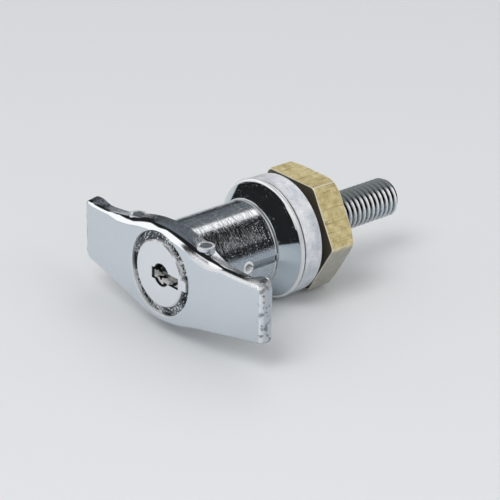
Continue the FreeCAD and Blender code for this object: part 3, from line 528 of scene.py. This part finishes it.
def nut_shell():
    """A hexagon nut. The flat's radius at an angle is half the width over cos(angle - flat's middle). A power
    mean of it and the corners' radius c eases the corners: c ((flat / c)^-n + 1)^(-1 / n). Beyond each face's
    round radius the bevel falls away at 30 degrees, so it cuts only the corners. Edges are marked for painted
    highlights."""
    angle = round_angles(720)
    off_corner = np.mod(np.degrees(angle) - NUT_TURN, 60) - 30
    flat = NUT_ACROSS_FLATS / 2 / np.cos(np.radians(off_corner))
    past_flat = (flat / NUT_CORNER_RADIUS) ** -NUT_CORNER_POWER
    reach = NUT_CORNER_RADIUS * (past_flat + 1) ** (-1 / NUT_CORNER_POWER)
    bore_edge = NUT_BORE + NUT_BORE_LEAD

    def face(round_radius, place, inwards):
        """Rows from the bore's edge to the flats on the face at this place."""
        flat_end = np.minimum(reach - 0.08, round_radius)
        radius = np.vstack([np.full_like(reach, bore_edge), (flat_end + bore_edge) / 2, flat_end - 0.15,
                            flat_end, reach - 0.04])
        bevel = np.maximum(radius - round_radius, 0) * np.tan(np.pi / 6)
        return turned(radius, place + inwards * bevel, angle)

    front, rear = face(NUT_FRONT_RADIUS, NUT_FRONT, 1), face(NUT_REAR_RADIUS, NUT_REAR, -1)
    bore = turned(NUT_BORE, np.array([[NUT_REAR - NUT_BORE_LEAD], [NUT_FRONT + NUT_BORE_LEAD]]), angle)
    share = np.array([0.014, 0.03, 0.06, 0.2, 0.4, 0.6, 0.8, 0.94, 0.97, 0.986])[:, None]
    side_start, side_end = front[-1:, :, 1], rear[-1:, :, 1]
    side = turned(reach, side_start + (side_end - side_start) * share, angle)
    # Painted highlights along the corners and the edges of the faces.
    corner = 0.8 * smooth_step(np.abs(off_corner), 29.0, 29.7)
    edge_highlight_side = np.maximum(smooth_step(np.abs(share - 0.5), 0.47, 0.487), corner)
    edge_highlight_face = np.array([0, 0, 0, 0.8, 1])[:, None]
    return marked_shell((bore, 0), (front, edge_highlight_face), (side, edge_highlight_side), (rear[::-1], edge_highlight_face[::-1]),
                        ring=True)


def stud_shell():
    """The plain shank and the threaded length; the bevelled tip cuts the thread. The crests are marked above
    0 for painted highlights and the valleys below it for painted shade."""
    angle = round_angles(96)
    place = steps(SPINDLE_END, STUD_TIP, 240)
    cut = thread_radius(STUD_RADIUS, STUD_THREAD_DEPTH, STUD_PITCH, place, angle)
    tip = STUD_RADIUS - np.maximum(place - STUD_TIP + STUD_CHAMFER, 0)
    depth = (STUD_RADIUS - cut) / STUD_THREAD_DEPTH
    # Marks for painted highlights on the crests and painted shade in the valleys.
    rib_light_marks = smooth_step(-depth, -0.38, -0.22) - smooth_step(depth, 0.38, 0.54)
    return marked_shell((turned(SHANK_RADIUS, np.array([[SHANK_END], [SPINDLE_END]]), angle), 0),
                        (turned(np.minimum(cut, tip), place, angle), rib_light_marks),
                        (turned(STUD_TIP_MIDDLE, STUD_TIP, angle), 0))


# Materials
def add(tree, kind, inputs=None, **settings):
    """A node of this kind with its settings; inputs gives each input a value, or the output to join to it."""
    made = tree.nodes.new("ShaderNode" + kind)
    for name, value in settings.items():
        setattr(made, name, value)
    for name, value in (inputs or {}).items():
        if isinstance(value, bpy.types.NodeSocket):
            tree.links.new(value, made.inputs[name])
        else:
            made.inputs[name].default_value = value
    return made


def maths(tree, operation, *values, clamped=False):
    """The result of an operation on numbers or outputs, held between 0 and 1 where clamped is set."""
    return add(tree, "Math", dict(enumerate(values)), operation=operation, use_clamp=clamped).outputs[0]


def ramp(tree, value, start, end, low=0.0, high=1.0, **settings):
    """A number that goes from low to high while the value goes from start to end, and no further."""
    return add(tree, "MapRange", {"Value": value, "From Min": start, "From Max": end, "To Min": low,
                                  "To Max": high}, **settings).outputs[0]


def blend(tree, share, first, second):
    """The first colour where share is 0 and the second where it is 1."""
    return add(tree, "Mix", {0: share, 6: first, 7: second}, data_type="RGBA").outputs[2]


def noise(tree, spot, scale, detail, roughness=0.5):
    """Soft noise about 0.5, with this many finer layers."""
    return add(tree, "TexNoise", {"Vector": spot, "Scale": scale, "Detail": detail,
                                  "Roughness": roughness}).outputs[0]


def split(tree, spot):
    """The X, Y and Z of a spot."""
    return add(tree, "SeparateXYZ", {0: spot}).outputs


def group(name, inputs, outputs):
    """A new node group with named number, vector and colour sockets: its tree, its inputs and its outputs."""
    tree = bpy.data.node_groups.new(name, "ShaderNodeTree")
    for direction, sockets in (("INPUT", inputs), ("OUTPUT", outputs)):
        for socket, kind in sockets.items():
            tree.interface.new_socket(socket, in_out=direction, socket_type="NodeSocket" + kind)
    return tree, tree.nodes.new("NodeGroupInput").outputs, tree.nodes.new("NodeGroupOutput").inputs


def placed(tree, made, **inputs):
    """A group as a node of another tree, with values for its inputs or the outputs to join to them."""
    node = add(tree, "Group", node_tree=made)
    for name, value in inputs.items():
        socket = node.inputs[name.replace("_", " ").capitalize()]
        if isinstance(value, bpy.types.NodeSocket):
            tree.links.new(value, socket)
        else:
            socket.default_value = value
    return node


def make_grain():
    """Fine cast grain: noise as a height, and where its bright specks and its dark ones are."""
    tree, given, out = group("cast grain", {"Vector": "Vector", "Scale": "Float"},
                             {"Height": "Float", "Specks": "Float", "Dark": "Float"})
    height = noise(tree, given["Vector"], given["Scale"], 3.0, 0.62)
    tree.links.new(height, out["Height"])
    tree.links.new(ramp(tree, height, 0.64, 0.68), out["Specks"])
    tree.links.new(ramp(tree, height, 0.44, 0.38), out["Dark"])
    return tree


def make_mottle():
    """Cloudy change between two colours at a given size, with a fine grain over it."""
    tree, given, out = group("mottle", {"Vector": "Vector", "Scale": "Float", "Contrast": "Float",
                                        "Dark": "Color", "Light": "Color"}, {"Color": "Color"})
    centred = maths(tree, "SUBTRACT", noise(tree, given["Vector"], given["Scale"], 6.0, 0.7), 0.5)
    cloud = maths(tree, "MULTIPLY_ADD", centred, given["Contrast"], 0.5, clamped=True)
    tree.links.new(blend(tree, cloud, given["Dark"], given["Light"]), out["Color"])
    return tree


def make_scratches():
    """Thin lines: noise stretched along one way, kept where it is near its middle value."""
    tree, given, out = group("scratches", {"Vector": "Vector", "Stretch": "Vector", "Width": "Float"},
                             {"Mask": "Float"})
    stretched = add(tree, "VectorMath", {0: given["Vector"], 1: given["Stretch"]}, operation="MULTIPLY")
    centred = maths(tree, "SUBTRACT", noise(tree, stretched.outputs[0], 1.0, 2.0), 0.5)
    tree.links.new(ramp(tree, maths(tree, "ABSOLUTE", centred), 0.0, given["Width"], 1.0, 0.0), out["Mask"])
    return tree


def grey(level):
    """A grey colour."""
    return level, level, level, 1


GRAIN = make_grain()
MOTTLE = make_mottle()
SCRATCHES = make_scratches()
PAINTED_WHITE = grey(0.97)
ZINC_DARK = (0.76, 0.81, 0.85, 1)
ZINC_LIGHT = (0.93, 0.95, 0.96, 1)


def placed_marks(tree):
    """The piece's mark as two amounts: how much below 0 and how much above it."""
    mark = add(tree, "Attribute", attribute_name="mark").outputs["Fac"]
    return maths(tree, "MULTIPLY", mark, -1.0, clamped=True), maths(tree, "MULTIPLY", mark, 1.0, clamped=True)


def mottled(tree, spot, scale, contrast, dark, light):
    """A colour that clouds between two tones."""
    return placed(tree, MOTTLE, vector=spot, scale=scale, contrast=contrast, dark=dark,
                  light=light).outputs["Color"]


def new_material(name, metallic, roughness, colour):
    """A material, its node tree, its principled shader's inputs and the piece's own coordinates."""
    made = bpy.data.materials.new(name)
    made.use_nodes = True
    shader = made.node_tree.nodes["Principled BSDF"].inputs
    shader["Metallic"].default_value = metallic
    shader["Roughness"].default_value = roughness
    shader["Base Color"].default_value = colour
    return made, made.node_tree, shader, add(made.node_tree, "TexCoord").outputs["Object"]


def bumped(tree, shader, height, distance):
    """Feeds a height, which stands for this many metres, to the shader's normal."""
    bump = add(tree, "Bump", {"Strength": 1.0, "Distance": distance, "Height": height})
    tree.links.new(bump.outputs[0], shader["Normal"])


def make_casting_chrome():
    """Chrome on a casting: clean and smooth on the polished wing, speckled with painted white glints and
    ringed on the neck, pitted on the wing's two ends. A mark above 0 is a painted highlight, on an edge or an
    end;
    one below 0 is the bare casting, or painted shade in the groove and the pin's hole."""
    made, tree, shader, spot = new_material("casting_chrome", 1.0, 0.1, (0.84, 0.86, 0.88, 1))
    axes = split(tree, spot)
    neck = ramp(tree, axes["Y"], -0.0225, -0.0205)
    end = ramp(tree, maths(tree, "ABSOLUTE", axes["X"]), 0.0243, 0.0254)
    cast, edges = placed_marks(tree)
    grain = placed(tree, GRAIN, vector=spot, scale=3600.0).outputs
    rings = placed(tree, SCRATCHES, vector=spot, stretch=(70, 3600, 70), width=0.06).outputs["Mask"]
    pits = maths(tree, "MULTIPLY", ramp(tree, noise(tree, spot, 900.0, 3.0), 0.57, 0.62), end)
    # Where the neck and the bare casting are speckled, the white specks are painted glints, added to the
    # painted highlights of the marks; the dark specks are grain.
    speckled = maths(tree, "MULTIPLY_ADD", cast, 2.5, neck, clamped=True)
    painted_highlight = maths(tree, "MAXIMUM", edges, maths(tree, "MULTIPLY", grain["Specks"], speckled))
    dark_specks = maths(tree, "MULTIPLY", grain["Dark"], speckled)

    faint_grain = maths(tree, "MULTIPLY", grain["Height"], 0.3)
    height = maths(tree, "MULTIPLY", maths(tree, "MULTIPLY_ADD", rings, 0.4, faint_grain), neck)
    for part, amount, size in ((pits, end, -12.0), (grain["Height"], cast, 5.0),
                               (grain["Height"], painted_highlight, 2.0)):
        height = maths(tree, "MULTIPLY_ADD", maths(tree, "MULTIPLY", part, amount), size, height)
    bumped(tree, shader, height, 0.00002)
    colour = mottled(tree, spot, 900.0, 1.2, (0.79, 0.81, 0.84, 1), (0.86, 0.88, 0.9, 1))
    # Colours: the bare casting's grey, which is also painted shade in the groove and the pin's hole; dark
    # grain specks; painted white highlights and glints; the pits.
    for amount, tone in ((cast, (0.5, 0.52, 0.55, 1)), (dark_specks, (0.45, 0.47, 0.5, 1)), (painted_highlight, PAINTED_WHITE),
                         (pits, (0.4, 0.41, 0.43, 1))):
        colour = blend(tree, amount, colour, tone)
    tree.links.new(colour, shader["Base Color"])
    rough = 0.09
    for amount, extra in ((neck, 0.05), (end, 0.2), (cast, 0.3), (painted_highlight, 0.3)):
        rough = maths(tree, "MULTIPLY_ADD", amount, extra, rough)
    tree.links.new(rough, shader["Roughness"])
    tree.links.new(maths(tree, "MULTIPLY_ADD", painted_highlight, -0.5, 1.0), shader["Metallic"])
    return made


def make_flange_chrome():
    """Polished chrome with patches of fine specks painted white as glints, and a painted highlight on the
    lip.
    """
    made, tree, shader, spot = new_material("flange_chrome", 1.0, 0.06, (0.84, 0.87, 0.89, 1))
    grain = placed(tree, GRAIN, vector=spot, scale=3400.0).outputs
    # Painted glints: white specks in patches. The lip's mark adds a painted highlight.
    patches = ramp(tree, noise(tree, spot, 300.0, 2.0), 0.4, 0.55, high=0.9)
    specks = maths(tree, "MULTIPLY", grain["Specks"], patches)
    painted_highlight = maths(tree, "MAXIMUM", placed_marks(tree)[1], specks)
    bumped(tree, shader, grain["Height"], 0.000003)
    tree.links.new(blend(tree, painted_highlight, (0.82, 0.86, 0.88, 1), PAINTED_WHITE), shader["Base Color"])
    tree.links.new(maths(tree, "MULTIPLY_ADD", painted_highlight, 0.25, 0.07), shader["Roughness"])
    tree.links.new(maths(tree, "MULTIPLY_ADD", painted_highlight, -0.5, 1.0), shader["Metallic"])
    return made


def make_spacer_zinc():
    """Matte, near-white die-cast metal with soft grey clouds and specks, and painted shade that makes it
    greyer towards its lower side.
    """
    made, tree, shader, spot = new_material("spacer_zinc", 0.2, 0.45, (0.9, 0.9, 0.92, 1))
    clouds = mottled(tree, spot, 420.0, 3.2, (0.58, 0.61, 0.66, 1), (0.93, 0.93, 0.95, 1))
    grain = placed(tree, GRAIN, vector=spot, scale=2200.0).outputs
    specked = blend(tree, grain["Specks"], clouds, (0.6, 0.63, 0.68, 1))
    # Painted shade: greyer towards the lower side.
    low = ramp(tree, split(tree, spot)["Z"], -0.011, 0.001, 0.75, 0.0)
    tree.links.new(blend(tree, low, specked, (0.5, 0.53, 0.58, 1)), shader["Base Color"])
    bumped(tree, shader, grain["Height"], 0.00003)
    return made


def make_nut_brass():
    """Dull, grained brass: scratched along the flats, with painted highlights at the edges, a painted grey
    reflection on the lower flats, painted shade on the front face and a darker tone on the rear one."""
    made, tree, shader, spot = new_material("nut_brass", 0.35, 0.4, (0.85, 0.74, 0.45, 1))
    axes = split(tree, spot)
    middle = (NUT_FRONT + NUT_REAR) / 2 * MM
    scratches = placed(tree, SCRATCHES, vector=spot, stretch=(1000, 40, 1000), width=0.02).outputs["Mask"]
    # Painted reflection: the lower flats turn silver-grey.
    low = ramp(tree, axes["Z"], -0.0014, -0.0006, 0.72, 0.0)
    # Painted shade on the front face; a darker tone on the rear face.
    faces = ramp(tree, maths(tree, "ABSOLUTE", maths(tree, "SUBTRACT", axes["Y"], middle)), 0.00298, 0.00304)
    at_rear = maths(tree, "GREATER_THAN", axes["Y"], middle)
    face_shade_and_tone = blend(tree, at_rear, (0.1, 0.085, 0.06, 1), (0.36, 0.3, 0.16, 1))
    colour = mottled(tree, spot, 700.0, 2.6, (0.58, 0.44, 0.17, 1), (1.0, 0.88, 0.5, 1))
    # The scratches are wear; the marked edges are painted highlights.
    for amount, tone in ((scratches, (0.38, 0.3, 0.15, 1)), (low, (0.42, 0.43, 0.46, 1)), (faces, face_shade_and_tone),
                         (placed_marks(tree)[1], (0.96, 0.9, 0.72, 1))):
        colour = blend(tree, amount, colour, tone)
    tree.links.new(colour, shader["Base Color"])
    bumped(tree, shader, placed(tree, GRAIN, vector=spot, scale=1900.0).outputs["Height"], 0.00004)
    return made


def make_stud_zinc():
    """Bright zinc with painted light: painted black shade in the valleys, painted white highlights on the
    crests along the upper sides, and a grey painted reflection on the top.
    """
    made, tree, shader, spot = new_material("stud_zinc", 1.0, 0.22, ZINC_LIGHT)
    clouds = mottled(tree, spot, 900.0, 1.8, ZINC_DARK, ZINC_LIGHT)
    valley, crest = placed_marks(tree)
    height = split(tree, spot)["Z"]
    # Painted light set by height: white crests above the middle, black valleys, and a grey top.
    above = ramp(tree, height, 0.0, 0.0011, low=0.6)
    top = ramp(tree, height, 0.0027, 0.0032)
    white = maths(tree, "MULTIPLY", crest, above)
    valley_shade = blend(tree, maths(tree, "MULTIPLY", valley, above), clouds, (0.03, 0.035, 0.045, 1))
    painted_ribs = blend(tree, white, valley_shade, grey(1))
    painted_top_reflection = blend(tree, valley, (0.22, 0.245, 0.25, 1), (0.14, 0.155, 0.16, 1))
    tree.links.new(blend(tree, top, painted_ribs, painted_top_reflection), shader["Base Color"])
    painted = maths(tree, "MAXIMUM", white, top)
    tree.links.new(maths(tree, "MULTIPLY_ADD", painted, -0.8, 1.0), shader["Metallic"])
    tree.links.new(ramp(tree, top, 0.0, 1.0, 0.22, 0.5), shader["Roughness"])
    bumped(tree, shader, placed(tree, GRAIN, vector=spot, scale=2700.0).outputs["Height"], 0.000004)
    return made


def make_insert_plating():
    """Strongly grained plating of the sunk ring, painted dark as shade: black and grey patches, with bright
    flecks painted as glints.
    """
    made, tree, shader, spot = new_material("insert_plating", 1.0, 0.16, (0.3, 0.33, 0.36, 1))
    # Painted shade in black and grey patches, and painted glints as white flecks.
    shade_patch = ramp(tree, noise(tree, spot, 230.0, 1.0), 0.4, 0.6)
    tone = blend(tree, shade_patch, (0.015, 0.016, 0.018, 1), (0.22, 0.25, 0.28, 1))
    grain = placed(tree, GRAIN, vector=spot, scale=2400.0).outputs["Height"]
    fleck_glint = ramp(tree, maths(tree, "MULTIPLY_ADD", shade_patch, 0.12, grain), 0.615, 0.635)
    tree.links.new(blend(tree, fleck_glint, tone, PAINTED_WHITE), shader["Base Color"])
    tree.links.new(maths(tree, "MULTIPLY_ADD", fleck_glint, -0.8, 1.0), shader["Metallic"])
    bumped(tree, shader, grain, 0.00003)
    return made


def make_plug_chrome():
    """Satin plating of the plug. The keyway is painted black inside as shade, with painted white glints where
    it is deep, most of them in its lower half."""
    made, tree, shader, spot = new_material("plug_chrome", 0.8, 0.24, (0.88, 0.89, 0.91, 1))
    axes = split(tree, spot)
    flat = add(tree, "VectorMath", {0: spot, 1: (1, 0, 1)}, operation="MULTIPLY").outputs[0]
    off_axis = add(tree, "VectorMath", {0: flat}, operation="LENGTH").outputs["Value"]
    # Painted shade inside the keyway, with painted white glints where it is deep.
    behind_face = ramp(tree, axes["Y"], -0.02609, -0.02595)
    inside = maths(tree, "MULTIPLY", behind_face, ramp(tree, off_axis, 0.0057, 0.006, 1.0, 0.0))
    lower = ramp(tree, axes["Z"], -0.0002, 0.0003, 0.0, -0.3)
    shine = ramp(tree, maths(tree, "ADD", noise(tree, spot, 800.0, 1.0), lower), 0.47, 0.5)
    glint = maths(tree, "MULTIPLY", shine, ramp(tree, axes["Y"], -0.0256, -0.0253))
    walls = blend(tree, glint, (0.04, 0.04, 0.045, 1), grey(0.98))
    face = mottled(tree, spot, 1200.0, 1.0, (0.9, 0.9, 0.92, 1), (0.97, 0.97, 0.98, 1))
    tree.links.new(blend(tree, inside, face, walls), shader["Base Color"])
    lit = maths(tree, "MULTIPLY", glint, inside)
    tree.links.new(maths(tree, "MULTIPLY_ADD", lit, -0.8, 0.8), shader["Metallic"])
    bumped(tree, shader, placed(tree, GRAIN, vector=spot, scale=2400.0).outputs["Height"], 0.00001)
    return made


def make_plain(name, metallic, roughness, dark, light, cloud_scale, grain_height):
    """A material whose colour clouds between two tones, with grain three times finer than the clouds."""
    made, tree, shader, spot = new_material(name, metallic, roughness, light)
    tree.links.new(mottled(tree, spot, cloud_scale, 1.8, dark, light), shader["Base Color"])
    grain = placed(tree, GRAIN, vector=spot, scale=cloud_scale * 3)
    bumped(tree, shader, grain.outputs["Height"], grain_height)
    return made


casting_chrome = make_casting_chrome()
flange_chrome = make_flange_chrome()
plug_chrome = make_plug_chrome()
insert_plating = make_insert_plating()
spacer_zinc = make_spacer_zinc()
nut_brass = make_nut_brass()
stud_zinc = make_stud_zinc()
washer_zinc = make_plain("washer_zinc", 1.0, 0.22, ZINC_DARK, ZINC_LIGHT, 900.0, 0.000004)
pin_steel = make_plain("pin_steel", 0.25, 0.28, (0.93, 0.92, 0.92, 1), grey(1), 1200.0, 0.00001)
raw_casting = make_plain("raw_casting", 0.8, 0.45, (0.42, 0.43, 0.45, 1), (0.6, 0.61, 0.63, 1),
                         600.0, 0.00004)
wafer_brass = make_plain("wafer_brass", 0.8, 0.2, grey(0.12), (0.9, 0.89, 0.87, 1), 1500.0, 0.00004)
spring_steel = make_plain("spring_steel", 1.0, 0.28, (0.35, 0.36, 0.38, 1), (0.6, 0.61, 0.63, 1),
                          900.0, 0.00001)
seal_rubber = make_plain("seal_rubber", 0.0, 0.6, (0.015, 0.015, 0.016, 1), (0.035, 0.035, 0.037, 1),
                         800.0, 0.00002)

# CAD nodes that keep their shape
kept = {
    "lock_insert_body": insert_plating, "key_plug": plug_chrome, "insert_retaining_ring": spring_steel,
    "plug_clip": spring_steel, "drive_pin": spring_steel, "spindle": raw_casting, "locking_bolt": raw_casting,
    "spindle_seal": seal_rubber, "thrust_washer": washer_zinc, "spindle_retaining_ring": spring_steel,
}
kept.update({"wafer_%d" % k: wafer_brass for k in range(1, 6)})
kept.update({"wafer_spring_%d" % k: spring_steel for k in range(1, 6)})
for name, material in kept.items():
    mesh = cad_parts[name].data
    mesh.materials.clear()
    mesh.materials.append(material)

# Pieces
solid("handle_casting_finished", "handle", "chrome_casting", casting_chrome, ["handle_casting"],
      casting_shell(640), *(pad_shell(x, top) for x, top in PAD_TOPS.items()))
solid("roll_pin_finished", "handle", "zinc_steel", pin_steel, ["roll_pin"], roll_pin_shell())
solid("housing_finished", "housing_side", "polished_chrome", flange_chrome, ["housing"], housing_shell())
solid("gasket_finished", "housing_side", "seal_rubber", seal_rubber, ["flange_gasket"],
      turned_ring(192, (DOOR_BORE, 0, 0.05), (GASKET_RADIUS, 0, 0.1), (GASKET_RADIUS, GASKET_THICKNESS, 0.1),
                  (DOOR_BORE, GASKET_THICKNESS, 0.05)))
solid("spacer_finished", "housing_side", "raw_casting", spacer_zinc, ["spacer_ring"],
      turned_ring(256, (DOOR_BORE, GASKET_THICKNESS, 0.15), (SPACER_RADIUS, GASKET_THICKNESS, SPACER_EDGE),
                  (SPACER_RADIUS, SPACER_REAR, SPACER_EDGE), (DOOR_BORE, SPACER_REAR, 0.15)))
solid("hex_nut_finished", "housing_side", "nut_brass", nut_brass, ["hex_nut"], nut_shell(), crease=25)
solid("stud_finished", "handle", "zinc_steel", stud_zinc, ["threaded_stud"], stud_shell())


# Camera, lamps, floor and surroundings
def direction_to(azimuth, elevation):
    """The way from the object to something at these angles, in radians; the azimuth runs from +X to +Y."""
    level = np.cos(elevation)
    return np.array([np.cos(azimuth) * level, np.sin(azimuth) * level, np.sin(elevation)])


def standing(right, up, away, distance):
    """The matrix of a camera or lamp that looks back at the origin from a distance along away."""
    matrix = np.eye(4)
    matrix[:3, :3] = np.column_stack([right, up, away])
    matrix[:3, 3] = away * distance
    return Matrix(matrix.tolist())


def add_camera():
    """The camera, turned about its own axis by the roll."""
    azimuth, elevation, roll = np.radians([CAMERA_AZIMUTH, CAMERA_ELEVATION, CAMERA_ROLL])
    away = direction_to(azimuth, elevation)
    level = np.array([-np.sin(azimuth), np.cos(azimuth), 0])
    upright = np.cross(away, level)
    camera = bpy.data.objects.new("camera", bpy.data.cameras.new("camera"))
    camera.data.lens = CAMERA_LENS
    camera.data.sensor_width = 36
    camera.data.shift_x, camera.data.shift_y = CAMERA_SHIFT
    camera.matrix_world = standing(np.cos(roll) * level + np.sin(roll) * upright,
                                   np.cos(roll) * upright - np.sin(roll) * level, away, CAMERA_DISTANCE)
    bpy.context.scene.collection.objects.link(camera)
    bpy.context.scene.camera = camera


def add_lamp(name, azimuth, elevation, distance, size, power):
    """A soft square lamp that points at the object and leaves no image of itself in the chrome."""
    lamp = bpy.data.objects.new(name, bpy.data.lights.new(name, "AREA"))
    lamp.data.size = size
    lamp.data.energy = power
    azimuth, elevation = np.radians([azimuth, elevation])
    away = direction_to(azimuth, elevation)
    side = np.array([-np.sin(azimuth), np.cos(azimuth), 0])
    lamp.matrix_world = standing(side, np.cross(away, side), away, distance)
    lamp.visible_glossy = False
    bpy.context.scene.collection.objects.link(lamp)


def add_floor():
    """The pale floor. Its painted reflection in the chrome is bluer, with painted shade that darkens it from
    the front towards the back.
    """
    paint = (0.76, 0.77, 0.78, 1)
    mesh = bpy.data.meshes.new("floor")
    corners = [(x, y, FLOOR) for x, y in ((-3, -3), (3, -3), (3, 3), (-3, 3))]
    mesh.from_pydata(corners, [], [(0, 1, 2, 3)])
    material, tree, shader, spot = new_material("floor_paint", 0.0, 0.75, paint)
    # Painted shade in the floor's reflection, darker from the front towards the back.
    way = add(tree, "VectorMath", {0: spot, 1: (0.7, 0.7, 0)}, operation="DOT_PRODUCT").outputs["Value"]
    far = ramp(tree, way, -0.035, 0.035, interpolation_type="SMOOTHSTEP")
    painted_floor_reflection = blend(tree, far, (0.63, 0.665, 0.7, 1), (0.33, 0.375, 0.42, 1))
    glossy = add(tree, "LightPath").outputs["Is Glossy Ray"]
    tree.links.new(blend(tree, glossy, paint, painted_floor_reflection), shader["Base Color"])
    mesh.materials.append(material)
    floor = bpy.data.objects.new("floor", mesh)
    bpy.context.scene.collection.objects.link(floor)


def make_panel():
    """1 where a direction lies between two upright planes and between two heights, 0 outside, softly."""
    tree, given, out = group("panel", {"Direction": "Vector", "First": "Vector", "Second": "Vector",
                                       "Low": "Float", "High": "Float", "Soft": "Float"}, {"Mask": "Float"})
    height = split(tree, given["Direction"])["Z"]
    inside = [add(tree, "VectorMath", {0: given["Direction"], 1: given[name]},
                  operation="DOT_PRODUCT").outputs["Value"] for name in ("First", "Second")]
    inside.append(maths(tree, "SUBTRACT", height, given["Low"]))
    inside.append(maths(tree, "SUBTRACT", given["High"], height))
    mask = 1.0
    for distance in inside:
        edge = ramp(tree, distance, 0.0, given["Soft"], interpolation_type="SMOOTHSTEP")
        mask = maths(tree, "MULTIPLY", mask, edge)
    tree.links.new(mask, out["Mask"])
    return tree


def add_studio():
    """What surrounds the object: pale for the eye and for light, but dark walls with one slate panel and
    bright ones for reflections."""
    world = bpy.data.worlds.new("studio")
    bpy.context.scene.world = world
    world.use_nodes = True
    tree = world.node_tree
    tree.nodes.clear()
    direction = add(tree, "TexCoord").outputs["Generated"]
    panel = make_panel()

    def hung(seen, azimuths, heights, soft, colour):
        """What is seen, with one more panel between two azimuths in degrees and two heights."""
        a, b = np.radians(azimuths)
        low, high = heights
        mask = placed(tree, panel, direction=direction, first=(-np.sin(a), np.cos(a), 0),
                      second=(np.sin(b), -np.cos(b), 0), low=low, high=high, soft=soft)
        return blend(tree, mask.outputs["Mask"], seen, colour)

    seen = (0.014, 0.015, 0.016, 1)
    seen = hung(seen, (117, 153), (0.24, 0.74), 0.05, (0.14, 0.157, 0.178, 1))
    seen = hung(seen, (92, 121), (-0.1, 0.84), 0.05, grey(1.4))
    seen = hung(seen, (-150, -119), (-0.1, 0.68), 0.04, grey(1.15))
    seen = hung(seen, (-167, -146), (-0.1, 0.52), 0.04, grey(1.15))
    seen = hung(seen, (-32, 32), (0.4, 0.96), 0.06, grey(1))
    seen = hung(seen, (-112, -66), (0.02, 0.62), 0.05, grey(1.2))
    rays = add(tree, "LightPath").outputs
    colour = blend(tree, rays["Is Glossy Ray"], (0.62, 0.63, 0.64, 1), seen)
    colour = blend(tree, rays["Is Camera Ray"], colour, (0.8, 0.81, 0.82, 1))
    light = add(tree, "Background", {"Color": colour, "Strength": 1.0})
    tree.links.new(light.outputs[0], add(tree, "OutputWorld").inputs["Surface"])


add_camera()
add_floor()
add_lamp("key_lamp", -75, 55, 0.7, 0.35, 1.6)
add_lamp("side_lamp", 10, 35, 0.8, 0.4, 0.8)
add_lamp("back_lamp", 130, 45, 0.8, 0.4, 0.5)
add_studio()

bpy.context.scene.view_settings.view_transform = "Standard"
